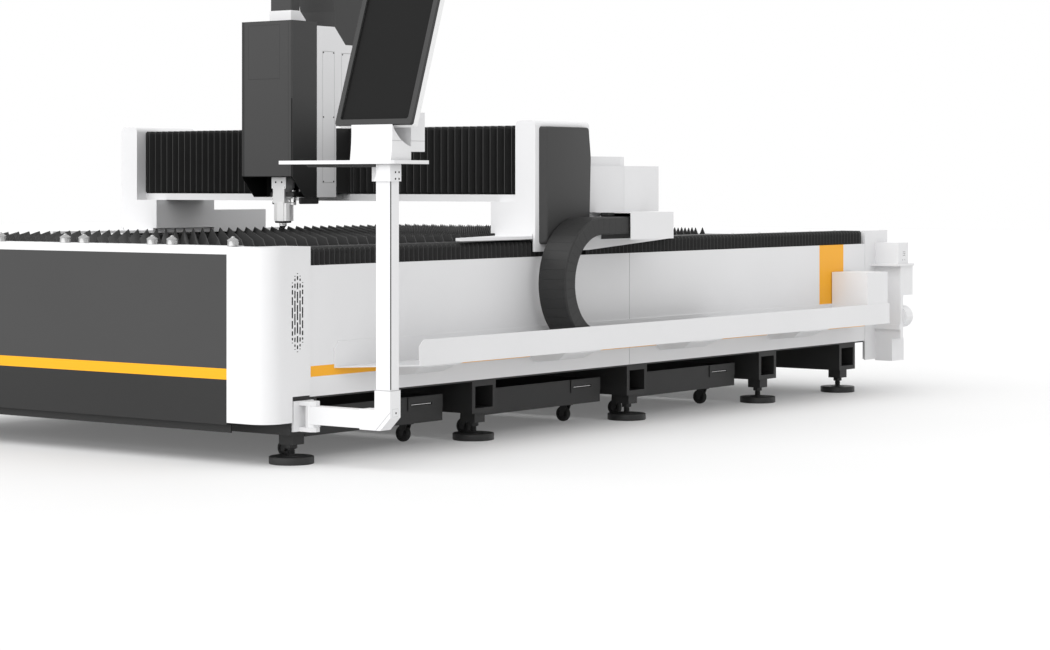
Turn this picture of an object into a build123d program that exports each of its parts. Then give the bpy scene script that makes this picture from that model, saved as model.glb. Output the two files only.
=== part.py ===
from build123d import *
import math
import os

# Open-bed fiber laser cutting machine. Millimetres, +Z up, front at -Y.
# Built about the bed's centre plane (x = 0), the first row of feet (y = 0) and the floor (z = 0).
# The named values are sizes, insets and clearances. The places that follow from them come after them.

# Running gap between pieces that move past each other, and the overrun of every cut
running_gap = 0.3
guide_gap = 0.5
overrun = 5

# Sides of the round pieces that repeat, kept few so that the whole machine stays a light mesh
pad_sides = 10
stem_sides = 6
stud_sides = 8
wheel_sides = 16
nozzle_sides = 16
port_sides = 12
chain_bend_steps = 16

# Feet and cross tubes
foot_x = 1129
foot_pitch = 1093
foot_rows = 4
rear_foot_gap = 755
pad_diameter = 168
pad_height = 28
stem_diameter = 26
nut_width = 40
nut_height = 16
foot_block_width = 66
foot_block_height = 41
tube_lift = 112
tube_height = 128
tube_depth = 155
tube_wall = 20
tube_reach = 55

# Side, front and rear beams
beam_width = 120
beam_height = 492
beam_wall = 10
front_overhang = 205
front_beam_depth = 79
front_beam_gap = 14
front_beam_rise = 43
rear_overhang = 166
rear_beam_depth = 60
rear_beam_rise = 65

# Sheet-metal skins
skin = 6
side_cover_lift = 7
side_cover_gap = 2
front_cover_length = 2083
seam_gap = 3
corner_width = 199
panel_lift = 38
kick_setback = 23
kick_lift = 7
top_rail_height = 30
top_rail_depth = 93
top_rail_round = 6
post_stand = 4
post_radius = 80
post_lift = 8
post_drop = 2
post_rear = 33
post_notch_depth = 99
post_notch_rise = 6
vent_width = 7
vent_pitch_y = 14
vent_inset = 72
vent_drop = 214

# Vent slots of one column, as distance from the middle and length
vent_outer = ((0, 39), (43.5, 29))
vent_inner = ((24, 41),)
vent_middle = ((0, 56), (56, 41))

# Slat bed
slat_count = 28
slat_inset = 124
slat_thickness = 5
slat_height = 96
slat_end_gap = 10
tooth_count = 13
tooth_height = 45
rest_lap = 35
rest_width = 20
rest_height = 40
ledge_lap = 5
ledge_drop = 42
deck_clear = 10
deck_drop = 1
deck_gap = 2
deck_end_gap = 10
bay_end_inset = 119
rear_deck_thickness = 7
chute_front = 85
chute_lap = 40
chute_gap = 30
chute_lift = 10
chute_reach = 129

# Ball transfer studs on the front rail
stud_diameter = 44
stud_height = 24
stud_cap_height = 12
stud_ball = 14
stud_setback = 45
stud_corner_inset = 10
stud_pair_inset = 375
stud_last_inset = 190
stud_pair_half = 52
stud_pairs = 4

# Rails, racks and the bellows over them
rail_width = 34
rail_height = 36
rail_end_gap = 40
rack_width = 25
rack_height = 25
rack_gap = 5
bellows_inset = 2
bellows_rise = 65
bellows_wall = 4
bellows_fold = 9
bellows_pitch = 80
bellows_front_gap = 3
bellows_rear_gap = 36
bellows_clear = 4

# Cable trough and energy chain
trough_start = 389
trough_rear_inset = 119
trough_lift = 106
trough_height = 99
trough_sheet = 4
trough_skew = 255
trough_clip = 25
chain_gap = 7
chain_side_clear = 14
chain_width = 140
chain_height = 73
chain_lead = 26
chain_fixed_length = 1038
chain_headroom = 17.7
chain_box_gap = 50
chain_box_length = 325
chain_box_height = 114
chain_box_wall = 3
chain_box_side_gap = 5.5
chain_box_tab = 60

# Junction boxes and the rack on the rear right corner
trough_box_length = 203
trough_box_end_gap = 7
trough_box_height = 254
rack_post_width = 40
rack_post_lift = 38
rack_post_rise = 4
rack_sheet = 6
rack_plate_rise = 61
rack_reach = 173
shelf_width = 154
shelf_sheet = 11
shelf_drop = 116
rear_box_inset = 46
valve_box = (133, 100, 105)
middle_box = (144, 127, 147)
slab_depth = 27
slab_height = 218
slab_rib_rise = 47
slab_rib_height = 25
slab_rib_reach = 10
filter_radius = 55
filter_length = 66
filter_inset = 34
filter_rise = 111
filter_sides = 16
lower_box = (96, 122, 112)

# Gantry
gantry_front = 1406
gantry_depth = 384
gantry_height = 469
gantry_round = 22
skirt_clear = 19
skirt_drop = 74
skirt_sheet = 13
tail_reach = 616
tail_drop = 36
tail_tip = 7
end_width = 103
leg_width = 231
leg_rise = 95
leg_rear_reach = 360
leg_rear_height = 85
end_cover_depth = 25
end_cover_bevel = 24
end_cover_inset = 26
end_cover_rear_inset = 20
end_cover_lift = 30
end_cover_drop = 25
end_cover_lean = 16
end_cover_knee = 363
end_cover_toe = 13
girder_inset = 134
girder_rear_inset = 70
girder_drop = 16
girder_rise = 131
girder_lip_reach = 70
girder_lip = 30
saddle_plate = 22
saddle_sheet = 12
saddle_inset = 22
saddle_side_gap = 3
saddle_wing_front = 471
saddle_wing_rear = 300
saddle_tip_width = 30
block_length = 130
block_gap = 20
block_inset = 104
block_width = 90
block_lift = 14
cable_box_inset = 1
cable_box_width = 198
cable_box_length = 530
cable_box_height = 198
cable_lid_inset = 20
cable_lid_length = 290
cable_lid_height = 40

# Cross rails and bellows on the gantry
cross_rail = 24
cross_rail_depth = 25
cross_rail_end_gap = 16
cross_rail_rise = 72
cross_rail_drop = 70
cross_rack_depth = 20
cross_rack_height = 30
cross_fold_stand = 77
cross_fold_depth = 27
cross_bellows_wall = 8
cross_bellows_pitch = 38.2
cross_bellows_drop = 3

# Carriage and vertical axis
carriage_half = 148
body_gap = 28
body_depth = 126
body_lift = 17
body_height = 742
body_crown_inset = 10
overhang_reach = 182
overhang_run = 62
overhang_drop = 76
overhang_clear = 10
cover_gap = 1
cover_depth = 161
cover_rise = 17
cover_nose_rise = 91
cover_bevel = 6
cover_sheet = 4
cover_slope = 83
back_plate_gap = 60
back_plate_clear = 4
back_plate_drop = 6
back_plate_half = 150
truck_length = 90
truck_height = 60
truck_inset = 8
truck_gap = 8
motor_mount_half = 62
motor_mount_inset = 90
motor_mount_rear_inset = 102
motor_mount_height = 50
motor_mount_chamfer = 38
motor_half = 60
motor_depth = 58
motor_height = 116
motor_gap = 3
guide_width = 200
guide_rise = 171
guide_knee = 68
guide_lean = 30
lift_rail_x = 70
lift_rail_width = 20
lift_rail_depth = 18
lift_rail_inset = 25
lift_rail_drop = 117

# Cutting head, from the nozzle up
cut_gap = 8
nozzle_tip_length = 16
nozzle_tip_radius = 6
nozzle_nut_radius = 17
nozzle_nut_height = 13
nozzle_ring_radius = 36
nozzle_ring_height = 9
head_body_width = 72
head_body_height = 78
head_lens_radius = 26
head_lens_shift = 26
head_neck_width = 66
head_neck_depth = 58
head_neck_height = 62
head_port_radius = 17
head_port_reach = 66
head_port_rise = 12
head_block_width = 83
head_block_depth = 56
slide_half = 98
slide_stand = 26
slide_rise = 97
slide_height = 258

# Monitor arm
hinge_reach = 55
hinge_y = -5
hinge_pin = 20
hinge_bore_gap = 0.05
bracket_half = 55
bracket_lift = 12
bracket_drop = 4
bracket_plate = 10
lug_thickness = 16
lug_point = 10
barrel_radius = 25
arm_width = 50
arm_bottom_gap = 13
arm_top_gap = 1
arm_reach = 324
arm_post_width = 65
arm_post_height = 952
arm_elbow = 43
gusset_sheet = 6
gusset_height = 62
gusset_clip = 30
gusset_wing = 56
sleeve_sheet = 4
sleeve_reach = 75
sleeve_height = 142
tray_length = 555
tray_right_gap = 15
tray_front_gap = 6
tray_rear_gap = 93
tray_rim = 14
tray_sheet = 3
tray_corner = 10

# Monitor and its stand
stand_half = 96
stand_lead = 39
stand_neck_set = 10
stand_depth = 116
stand_clear = 4
column_depth = 78
column_lift = 45
column_height = 142
tilt_axis_inset = 40
tilt_axis_rise = 38
ear_radius = 23
ear_point = 10
ear_width = 18
ear_inner = 62
tilt_pin_radius = 8
monitor_shift = 17
monitor_lead = 140
monitor_drop = 82
monitor_width = 358
monitor_height = 620
monitor_depth = 70
monitor_tilt = 18.7
monitor_corner = 6
bezel_width = 20
bezel_depth = 14
screen_depth = 6
shell_taper = 46
shell_rim = 24

# Scrap carts
cart_count = 3
cart_gap_front = 20.5
cart_gap_rear = 97.5
cart_setback = 20
cart_depth = 2000
cart_sheet = 5
cart_wall_height = 94
cart_panel_lap = 6
cart_panel_sheet = 8
cart_slot_width = 130
cart_slot_height = 9
cart_slot_inset = 70
cart_slot_drop = 28
wheel_radius = 33
wheel_width = 24
wheel_inset_y = 60
wheel_front_inset = 153
wheel_rear_inset = 151
fork_sheet = 5
fork_crown = 25
fork_length = 44
fork_drop = 10
fork_trail = 18

# Places of the frame
bay_rear_row = foot_pitch * (foot_rows - 1)
rear_row = bay_rear_row + rear_foot_gap
row_places = [foot_pitch * i for i in range(foot_rows)] + [rear_row]
tube_end = foot_x + tube_reach
tube_bottom = tube_lift
tube_top = tube_bottom + tube_height
beam_inner = tube_end - beam_width
beam_top = tube_top + beam_height
bed_rear = rear_row + rear_overhang
front_face = -front_overhang
front_inside = front_face + skin
front_beam_rear = front_inside + front_beam_depth
front_beam_top = beam_top + front_beam_rise
rear_beam_top = beam_top + rear_beam_rise

# Places of the skins
skin_outer = tube_end + skin
post_outer = skin_outer + post_stand
panel_half = post_outer - corner_width
front_beam_half = post_outer - post_radius - front_beam_gap
panel_bottom = tube_bottom + panel_lift
kick_bottom = tube_bottom + kick_lift
side_cover_bottom = tube_top + side_cover_lift
side_cover_front = post_rear + side_cover_gap
side_seam = side_cover_front + front_cover_length
top_rail_rear = front_face + top_rail_depth
top_rail_top = front_beam_top + top_rail_height
post_bottom = panel_bottom + post_lift
post_top = top_rail_top - post_drop
post_notch_front = post_rear - post_notch_depth
post_notch_top = side_cover_bottom + post_notch_rise
vent_middle_y = post_rear - vent_inset
vent_middle_z = front_beam_top - vent_drop

# Places of the slat bed
slat_half = beam_inner - slat_inset
rest_inner = slat_half - rest_lap
ledge_inner = rest_inner - ledge_lap
ledge_top = beam_top - ledge_drop
slat_bottom = ledge_top + rest_height
slat_tip = slat_bottom + slat_height
bellows_inner = beam_inner + bellows_inset
bellows_outer = skin_outer
bellows_top = beam_top + bellows_rise
deck_inner = slat_half + deck_clear
deck_outer = bellows_inner - deck_gap
deck_top = rear_beam_top - deck_drop
deck_front = top_rail_rear + deck_gap
rear_deck_front = bay_rear_row - bay_end_inset
deck_rear = rear_deck_front - deck_end_gap
slat_first = deck_front + slat_end_gap
slat_last = deck_rear - slat_end_gap
slat_pitch = (slat_last - slat_first) / (slat_count - 1)
chute_inner = beam_inner - chute_reach
chute_top = ledge_top - chute_gap
chute_bottom = tube_top + chute_lift
chute_rear = rear_deck_front + chute_lap
stud_y = front_face + stud_setback
stud_corner_x = panel_half - stud_corner_inset
stud_pair_x = panel_half - stud_pair_inset
stud_pair_pitch = (stud_pair_x + panel_half - stud_last_inset) / (stud_pairs - 1)
bellows_front = side_cover_front + bellows_front_gap
bellows_rear = bed_rear - bellows_rear_gap

# Places of the gantry
gantry_rear = gantry_front + gantry_depth
gantry_half = skin_outer + skirt_clear
end_inner = gantry_half - end_width
leg_inner = gantry_half - leg_width
leg_bottom = beam_top + leg_rise
leg_rear = gantry_rear + leg_rear_reach
gantry_top = leg_bottom + gantry_height
skirt_bottom = leg_bottom - skirt_drop
end_cover_front = gantry_front + end_cover_inset
end_cover_rear = gantry_rear - end_cover_rear_inset
end_cover_bottom = skirt_bottom + end_cover_lift
end_cover_top = gantry_top - end_cover_drop
end_cover_waist = end_cover_bottom + end_cover_knee
girder_front = gantry_front + girder_inset
girder_rear = gantry_rear - girder_rear_inset
girder_top = gantry_top - girder_drop
girder_bottom = leg_bottom + girder_rise
girder_lip_front = girder_front - girder_lip_reach
girder_lip_top = girder_bottom + girder_lip
gantry_shoulder = girder_bottom
saddle_inner = leg_inner + saddle_inset
saddle_outer = gantry_half - skirt_sheet - saddle_side_gap
saddle_tip_front = gantry_front - saddle_wing_front
saddle_tip_rear = leg_rear + saddle_wing_rear
block_first = gantry_front + block_inset
blocks_rear = block_first + 2 * block_length + block_gap
cross_rail_half = end_inner - cross_rail_end_gap
cross_rail_lower = girder_bottom + cross_rail_rise
cross_rail_upper = girder_top - cross_rail_drop
cross_fold_front = girder_front - cross_fold_stand
cross_fold_back = cross_fold_front + cross_fold_depth
cross_bellows_top = girder_top - cross_bellows_drop

# Places of the cable trough, the chain and the rear rack
chain_inner = gantry_half + end_cover_depth + chain_gap
trough_outer = chain_inner + chain_width + chain_side_clear
trough_front = side_cover_front + trough_start
trough_rear = bed_rear - trough_rear_inset
trough_bottom = tube_top + trough_lift
trough_top = trough_bottom + trough_height
floor_of_trough = trough_bottom + trough_sheet
chain_box_top = leg_bottom + leg_rear_height
chain_box_bottom = chain_box_top - chain_box_height
leg_rear_top = chain_box_top - chain_box_wall
chain_bottom = floor_of_trough + running_gap
chain_top = chain_box_top - chain_headroom
chain_radius = (chain_top - chain_bottom) / 2
chain_axis_z = chain_bottom + chain_radius
chain_axis_y = gantry_front - chain_lead + chain_radius
chain_fixed_end = chain_axis_y + chain_fixed_length
chain_box_front = gantry_rear + chain_box_gap
chain_box_rear = chain_box_front + chain_box_length
trough_box_front = trough_rear - trough_sheet - trough_box_end_gap - trough_box_length
trough_box_top = trough_bottom + trough_box_height
rack_post_x = tube_end
rack_post_bottom = tube_bottom + rack_post_lift
rack_post_top = beam_top + rack_post_rise
rack_front = bed_rear + rear_beam_depth
rack_rear = rack_front + rack_reach
shelf_z = rack_post_top - shelf_drop
rear_box_front = rack_front + rear_box_inset
cable_box_outer = gantry_half - cable_box_inset
cable_box_inner = cable_box_outer - cable_box_width
cable_box_rear = gantry_rear + cable_box_length
cable_box_top = chain_box_top + cable_box_height

# Places of the carriage and the cutting head
body_rear = gantry_front - body_gap
body_front = body_rear - body_depth
body_bottom = girder_bottom + body_lift
body_top = body_bottom + body_height
cover_rear = body_front - cover_gap
cover_front = cover_rear - cover_depth
cover_top = body_top + cover_rise
cover_nose = body_bottom + cover_nose_rise
back_plate_rear = girder_front - back_plate_gap
back_plate_bottom = girder_lip_top + back_plate_clear
back_plate_top = girder_top - back_plate_drop
truck_rear = girder_front - truck_gap
motor_mount_front = cover_front + motor_mount_inset
motor_mount_rear = body_rear - motor_mount_rear_inset
overhang_rear = body_rear + overhang_reach
overhang_top = body_top - overhang_drop
overhang_bottom = girder_top + overhang_clear
guide_top = cover_top + guide_rise
lift_rail_bottom = body_bottom + lift_rail_inset
lift_rail_top = body_top - lift_rail_drop
slide_front = body_front - slide_stand
slide_bottom = body_bottom + slide_rise
slide_top = slide_bottom + slide_height
head_y = slide_front - head_block_depth / 2
nozzle_tip_z = slat_tip + cut_gap
nozzle_nut_bottom = nozzle_tip_z + nozzle_tip_length
nozzle_ring_bottom = nozzle_nut_bottom + nozzle_nut_height
head_body_bottom = nozzle_ring_bottom + nozzle_ring_height
head_neck_bottom = head_body_bottom + head_body_height
head_block_bottom = head_neck_bottom + head_neck_height
head_port_z = head_neck_bottom + head_port_rise

# Places of the monitor arm and the monitor
hinge_x = tube_end + hinge_reach
bracket_front = hinge_y - bracket_half
bracket_rear = hinge_y + bracket_half
bracket_bottom = tube_bottom + bracket_lift
bracket_top = tube_top - bracket_drop
arm_bottom = bracket_bottom + lug_thickness + arm_bottom_gap
arm_shoulder = bracket_top - lug_thickness - arm_top_gap
arm_top = arm_bottom + arm_post_height
arm_post_x = hinge_x + arm_reach
arm_post_right = arm_post_x + arm_post_width
monitor_middle = arm_post_x - monitor_shift
stand_front = hinge_y - stand_lead
stand_neck_front = stand_front + stand_neck_set
stand_rear = stand_front + stand_depth
column_rear = stand_rear + column_depth
column_bottom = arm_top + column_lift
column_top = column_bottom + column_height
tray_left = monitor_middle + stand_half + tray_right_gap - tray_length
tray_front = stand_front - tray_front_gap
tray_depth = stand_rear + tray_rear_gap - tray_front
tilt_axis_y = column_rear - tilt_axis_inset
tilt_axis_z = column_top + tilt_axis_rise
monitor_front = tilt_axis_y - monitor_lead
monitor_bottom = tilt_axis_z - monitor_drop

# Places of the scrap carts
cart_start = tube_depth / 2 + cart_gap_front
cart_width = foot_pitch - tube_depth - cart_gap_front - cart_gap_rear
cart_front = foot_x - cart_setback
cart_floor = 2 * wheel_radius + fork_sheet + fork_crown
cart_wall_top = cart_floor + cart_wall_height
cart_panel_bottom = cart_floor - cart_panel_lap
cart_panel_top = cart_wall_top + cart_panel_lap
wheel_front_x = cart_front - wheel_front_inset
wheel_rear_x = cart_front - cart_depth + wheel_rear_inset


def block(x, y, z):
    size = Box(x[1] - x[0], y[1] - y[0], z[1] - z[0], align=(Align.MIN, Align.MIN, Align.MIN))
    return Pos(x[0], y[0], z[0]) * size


def outline(points):
    return make_face(Polyline(*points, close=True))


def along_x(face, start, end):
    return extrude(Plane.YZ.offset(start) * face, end - start)


def along_y(face, start, end):
    return extrude(Plane.XZ.offset(-start) * face, start - end)


def along_z(face, start, end):
    return extrude(Plane.XY.offset(start) * face, end - start)


def upright(radius, x, y, bottom, top):
    return Pos(x, y, bottom) * Cylinder(radius, top - bottom, align=(Align.CENTER, Align.CENTER, Align.MIN))


def faceted(radius, sides, place, bottom, top):
    return along_z(Pos(*place) * RegularPolygon(radius, sides), bottom, top)


def narrowing(face, inset, height):
    return extrude(face, height, taper=math.degrees(math.atan(inset / height)))


def faceted_cone(base, tip, sides, height):
    inset = (base - tip) * math.cos(math.pi / sides)
    return narrowing(RegularPolygon(base, sides), inset, height)


def crosswise(radius, start, end, y, z):
    rod = Cylinder(radius, end - start, align=(Align.CENTER, Align.CENTER, Align.MIN))
    return Pos(start, y, z) * Rotation(0, 90, 0) * rod


def mirrored(piece):
    return [piece, mirror(piece, Plane.YZ)]


def cross_tubes():
    half = tube_depth / 2
    opening = Rectangle(tube_depth - 2 * tube_wall, tube_height - 2 * tube_wall)
    middle = tube_bottom + tube_height / 2
    tubes = []
    for row in row_places:
        tube = block((-tube_end, tube_end), (row - half, row + half), (tube_bottom, tube_top))
        tube -= along_x(Pos(row, middle) * opening, -tube_end - overrun, tube_end + overrun)
        for side in (-foot_x, foot_x):
            reach = foot_block_width / 2
            tube += block(
                (side - reach, side + reach),
                (row - reach, row + reach),
                (tube_bottom - foot_block_height, tube_bottom),
            )
        tubes.append(tube)
    return tubes


def levelling_feet():
    block_bottom = tube_bottom - foot_block_height
    nut = RegularPolygon(nut_width / 2, 6, major_radius=False)
    feet = []
    for row in row_places:
        for side in (-foot_x, foot_x):
            foot = faceted(pad_diameter / 2, pad_sides, (side, row), 0, pad_height)
            foot += faceted(stem_diameter / 2, stem_sides, (side, row), pad_height, block_bottom)
            foot += along_z(Pos(side, row) * nut, block_bottom - nut_height, block_bottom)
            feet.append(foot)
    return feet


def side_beams():
    beam = block((beam_inner, tube_end), (front_beam_rear, bed_rear), (tube_top, beam_top))
    beam -= block(
        (beam_inner + beam_wall, tube_end - beam_wall),
        (front_beam_rear - overrun, bed_rear + overrun),
        (tube_top + beam_wall, beam_top - beam_wall),
    )
    return mirrored(beam)


def end_beams():
    front_run = (front_inside, front_beam_rear)
    rear_run = (bed_rear, bed_rear + rear_beam_depth)
    front = block((-front_beam_half, front_beam_half), front_run, (tube_top, front_beam_top))
    rear = block((-tube_end, tube_end), rear_run, (tube_top, rear_beam_top))
    return [front, rear]


def side_covers():
    covers = []
    for start, end in ((side_cover_front, side_seam), (side_seam + seam_gap, bed_rear)):
        covers += mirrored(block((tube_end, skin_outer), (start, end), (side_cover_bottom, beam_top)))
    return covers


def front_panel():
    kick = front_inside + kick_setback
    folds = [
        (front_face, panel_bottom),
        (front_face, front_beam_top),
        (front_inside, front_beam_top),
        (front_inside, panel_bottom + skin),
        (kick, panel_bottom + skin),
        (kick, kick_bottom),
        (kick - skin, kick_bottom),
        (kick - skin, panel_bottom),
    ]
    return [along_x(outline(folds), -panel_half, panel_half)]


def front_top_rail():
    rail = block((-panel_half, panel_half), (front_face, top_rail_rear), (front_beam_top, top_rail_top))
    edge = rail.edges().filter_by(Axis.X).group_by(Axis.Y)[0].sort_by(Axis.Z)[-1]
    return [fillet(edge, top_rail_round)]


def corner_plan(inset):
    radius = post_radius - inset
    front = front_face + inset
    outer = post_outer - inset
    wall = Line((panel_half, front), (post_outer - post_radius, front))
    turn = CenterArc((post_outer - post_radius, front_face + post_radius), radius, -90, 90)
    side = Line((outer, front_face + post_radius), (outer, post_rear))
    return wall, turn, side


def corner_posts():
    wall, turn, side = corner_plan(0)
    inner_wall, inner_turn, inner_side = corner_plan(skin)
    rim = [Line(side @ 1, inner_side @ 1), Line(inner_wall @ 0, wall @ 0)]
    sheet = make_face([wall, turn, side, inner_wall, inner_turn, inner_side] + rim)
    post = along_z(sheet, post_bottom, post_top - skin)
    cap_edges = Polyline(
        side @ 1,
        (deck_outer, post_rear),
        (deck_outer, top_rail_rear),
        (panel_half, top_rail_rear),
        wall @ 0,
    )
    post += along_z(make_face([wall, turn, side, cap_edges]), post_top - skin, post_top)
    post -= block(
        (post_outer - post_radius, post_outer + overrun),
        (post_notch_front, post_rear + overrun),
        (post_bottom - overrun, post_notch_top),
    )
    columns = [vent_outer, vent_inner, vent_middle, vent_inner, vent_outer]
    for i, column in enumerate(columns):
        y = vent_middle_y + (i - 2) * vent_pitch_y
        for rise, length in column:
            slot = Rectangle(vent_width, length)
            for z in sorted({vent_middle_z - rise, vent_middle_z + rise}):
                post -= along_x(Pos(y, z) * slot, post_outer - skin - overrun, post_outer + overrun)
    return mirrored(post)


def slat_places():
    return [slat_first + slat_pitch * i for i in range(slat_count)]


def slats():
    tooth = 2 * slat_half / tooth_count
    valley = slat_tip - tooth_height
    edge = [(-slat_half, slat_bottom), (-slat_half, valley)]
    for i in range(tooth_count):
        start = -slat_half + tooth * i
        edge += [(start + tooth / 2, slat_tip), (start + tooth, valley)]
    edge.append((slat_half, slat_bottom))
    face = outline(edge)
    return [along_y(face, y - slat_thickness / 2, y + slat_thickness / 2) for y in slat_places()]


def slat_rests():
    rest = block((rest_inner, rest_inner + rest_width), (deck_front, deck_rear), (ledge_top, slat_bottom))
    return mirrored(rest)


def side_decks():
    folds = [
        (ledge_inner, ledge_top - skin),
        (beam_inner, ledge_top - skin),
        (beam_inner, ledge_top),
        (deck_inner + skin, ledge_top),
        (deck_inner + skin, deck_top - skin),
        (deck_outer, deck_top - skin),
        (deck_outer, deck_top),
        (deck_inner, deck_top),
        (deck_inner, ledge_top),
        (ledge_inner, ledge_top),
    ]
    return mirrored(along_y(outline(folds), deck_front, deck_rear))


def rear_deck():
    underside = rear_beam_top - rear_deck_thickness
    deck = block((-deck_outer, deck_outer), (rear_deck_front, bed_rear), (underside, rear_beam_top))
    deck += block(
        (-beam_inner, beam_inner),
        (rear_deck_front, rear_deck_front + rear_deck_thickness),
        (ledge_top - skin, underside),
    )
    return [deck]


def scrap_chutes():
    folds = [
        (beam_inner, chute_top),
        (beam_inner, chute_top - 2 * skin),
        (chute_inner + skin, chute_bottom),
        (chute_inner, chute_bottom),
        (beam_inner - skin, chute_top),
    ]
    return mirrored(along_y(outline(folds), chute_front, chute_rear))


def ball_studs():
    places = [stud_corner_x]
    for i in range(stud_pairs):
        middle = stud_pair_x - stud_pair_pitch * i
        places += [middle + stud_pair_half, middle - stud_pair_half]
    collar = stud_diameter / 2
    top = top_rail_top + stud_height
    cap = faceted_cone(collar, stud_ball / 2, stud_sides, stud_cap_height)
    studs = []
    for x in places:
        stud = faceted(collar, stud_sides, (x, stud_y), top_rail_top, top)
        stud += Pos(x, stud_y, top) * cap
        studs.append(stud)
    return studs


def bed_rails():
    middle = (beam_inner + tube_end) / 2
    rail = block(
        (middle - rail_width / 2, middle + rail_width / 2),
        (bellows_front + rail_end_gap, bellows_rear - rail_end_gap),
        (beam_top, beam_top + rail_height),
    )
    return mirrored(rail)


def bed_racks():
    outer = (beam_inner + tube_end - rail_width) / 2 - rack_gap
    rack = block(
        (outer - rack_width, outer),
        (bellows_front + rail_end_gap, bellows_rear - rail_end_gap),
        (beam_top, beam_top + rack_height),
    )
    return mirrored(rack)


def pleated_run(start, end):
    folds = max(round((end - start) / bellows_pitch), 1)
    step = (end - start) / folds
    valley = bellows_outer - bellows_fold
    edge = [(valley - bellows_wall, start), (valley, start)]
    for i in range(folds):
        edge += [(bellows_outer, start + step * (i + 1 / 2)), (valley, start + step * (i + 1))]
    edge.append((valley - bellows_wall, end))
    bottom = beam_top + running_gap
    run = along_z(outline(edge), bottom, bellows_top)
    roof = bellows_top - bellows_wall
    run += block((bellows_inner, valley - bellows_wall), (start, end), (roof, bellows_top))
    run += block((bellows_inner, bellows_inner + bellows_wall), (start, end), (bottom, roof))
    return run


def front_bellows():
    return mirrored(pleated_run(bellows_front, block_first - bellows_clear))


def rear_bellows():
    return mirrored(pleated_run(blocks_rear + bellows_clear, bellows_rear))


def cable_trough():
    plan = outline(
        [
            (skin_outer, trough_rear),
            (skin_outer, trough_front - trough_skew),
            (trough_outer, trough_front),
            (trough_outer, trough_rear),
        ]
    )
    trough = along_z(plan, trough_bottom, floor_of_trough)
    walls = ((skin_outer, trough_front - trough_skew), (trough_outer - trough_sheet, trough_front))
    for left, front in walls:
        side = outline(
            [
                (front, trough_bottom),
                (trough_rear, trough_bottom),
                (trough_rear, trough_top),
                (front + trough_clip, trough_top),
                (front, trough_top - trough_clip),
            ]
        )
        trough += along_x(side, left, left + trough_sheet)
    rear_run = (trough_rear - trough_sheet, trough_rear)
    return [trough + block((skin_outer, trough_outer), rear_run, (trough_bottom, trough_top))]


def junction_boxes():
    boxes = [
        block(
            (skin_outer + trough_sheet, trough_outer - trough_sheet),
            (trough_box_front, trough_box_front + trough_box_length),
            (floor_of_trough, trough_box_top),
        )
    ]
    def against_plate(size, bottom):
        box = (skin_outer, skin_outer + size[0]), (rear_box_front, rear_box_front + size[1])
        return block(*box, (bottom, bottom + size[2]))

    middle_bottom = shelf_z - middle_box[2]
    slab_bottom = middle_bottom - slab_height
    slab = against_plate((middle_box[0], slab_depth, slab_height), slab_bottom)
    rib_bottom = slab_bottom + slab_rib_rise
    slab += block(
        (skin_outer, skin_outer + middle_box[0]),
        (rear_box_front - slab_rib_reach, rear_box_front),
        (rib_bottom, rib_bottom + slab_rib_height),
    )
    filter_back = rear_box_front + slab_depth
    filter_place = (skin_outer + middle_box[0] - filter_inset, slab_bottom + filter_rise)
    bowl = Pos(*filter_place) * RegularPolygon(filter_radius, filter_sides)
    boxes.append(against_plate(valve_box, shelf_z + shelf_sheet))
    boxes.append(against_plate(middle_box, middle_bottom))
    boxes.append(slab + along_y(bowl, filter_back, filter_back + filter_length))
    boxes.append(against_plate(lower_box, slab_bottom - lower_box[2]))
    return boxes


def rear_rack():
    plate_top = rack_post_top + rack_plate_rise
    upright_run = (rack_post_bottom, plate_top)
    inner = rack_post_x - rack_post_width
    rack = block((rack_post_x, skin_outer), (bed_rear + seam_gap, rack_rear), upright_run)
    rack += block((inner, rack_post_x), (rack_front, rack_front + rack_post_width), upright_run)
    rack += block((inner, rack_post_x), (rack_rear - rack_sheet, rack_rear), upright_run)
    shelf = (skin_outer, skin_outer + shelf_width), (rack_front, rack_rear)
    return [rack + block(*shelf, (shelf_z, shelf_z + shelf_sheet))]


def chain_lower_run():
    return [
        block(
            (chain_inner, chain_inner + chain_width),
            (chain_axis_y, chain_fixed_end),
            (chain_bottom, chain_bottom + chain_height),
        )
    ]


def chain_upper_run():
    return [
        block(
            (chain_inner, chain_inner + chain_width),
            (chain_axis_y, chain_box_rear - chain_box_wall),
            (chain_top - chain_height, chain_top),
        )
    ]


def chain_bend():
    turn = [math.pi * (1 / 2 + i / chain_bend_steps) for i in range(chain_bend_steps + 1)]

    def rim(radius):
        return [(chain_axis_y + radius * math.cos(a), chain_axis_z + radius * math.sin(a)) for a in turn]

    links = outline(rim(chain_radius) + rim(chain_radius - chain_height)[::-1])
    return [along_x(links, chain_inner, chain_inner + chain_width)]


def chain_end_box():
    inner = chain_inner - chain_box_side_gap
    outer = chain_inner + chain_width + chain_box_side_gap
    hood = block(
        (inner - chain_box_wall, outer + chain_box_wall),
        (chain_box_front, chain_box_rear),
        (chain_box_bottom, chain_box_top),
    )
    hood -= block(
        (inner, outer),
        (chain_box_front - overrun, chain_box_rear - chain_box_wall),
        (chain_box_bottom - overrun, chain_box_top - chain_box_wall),
    )
    hood += block(
        (cable_box_outer - chain_box_tab, inner - chain_box_wall),
        (chain_box_front, chain_box_rear),
        (chain_box_top - chain_box_wall, chain_box_top),
    )
    return [hood]


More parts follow.
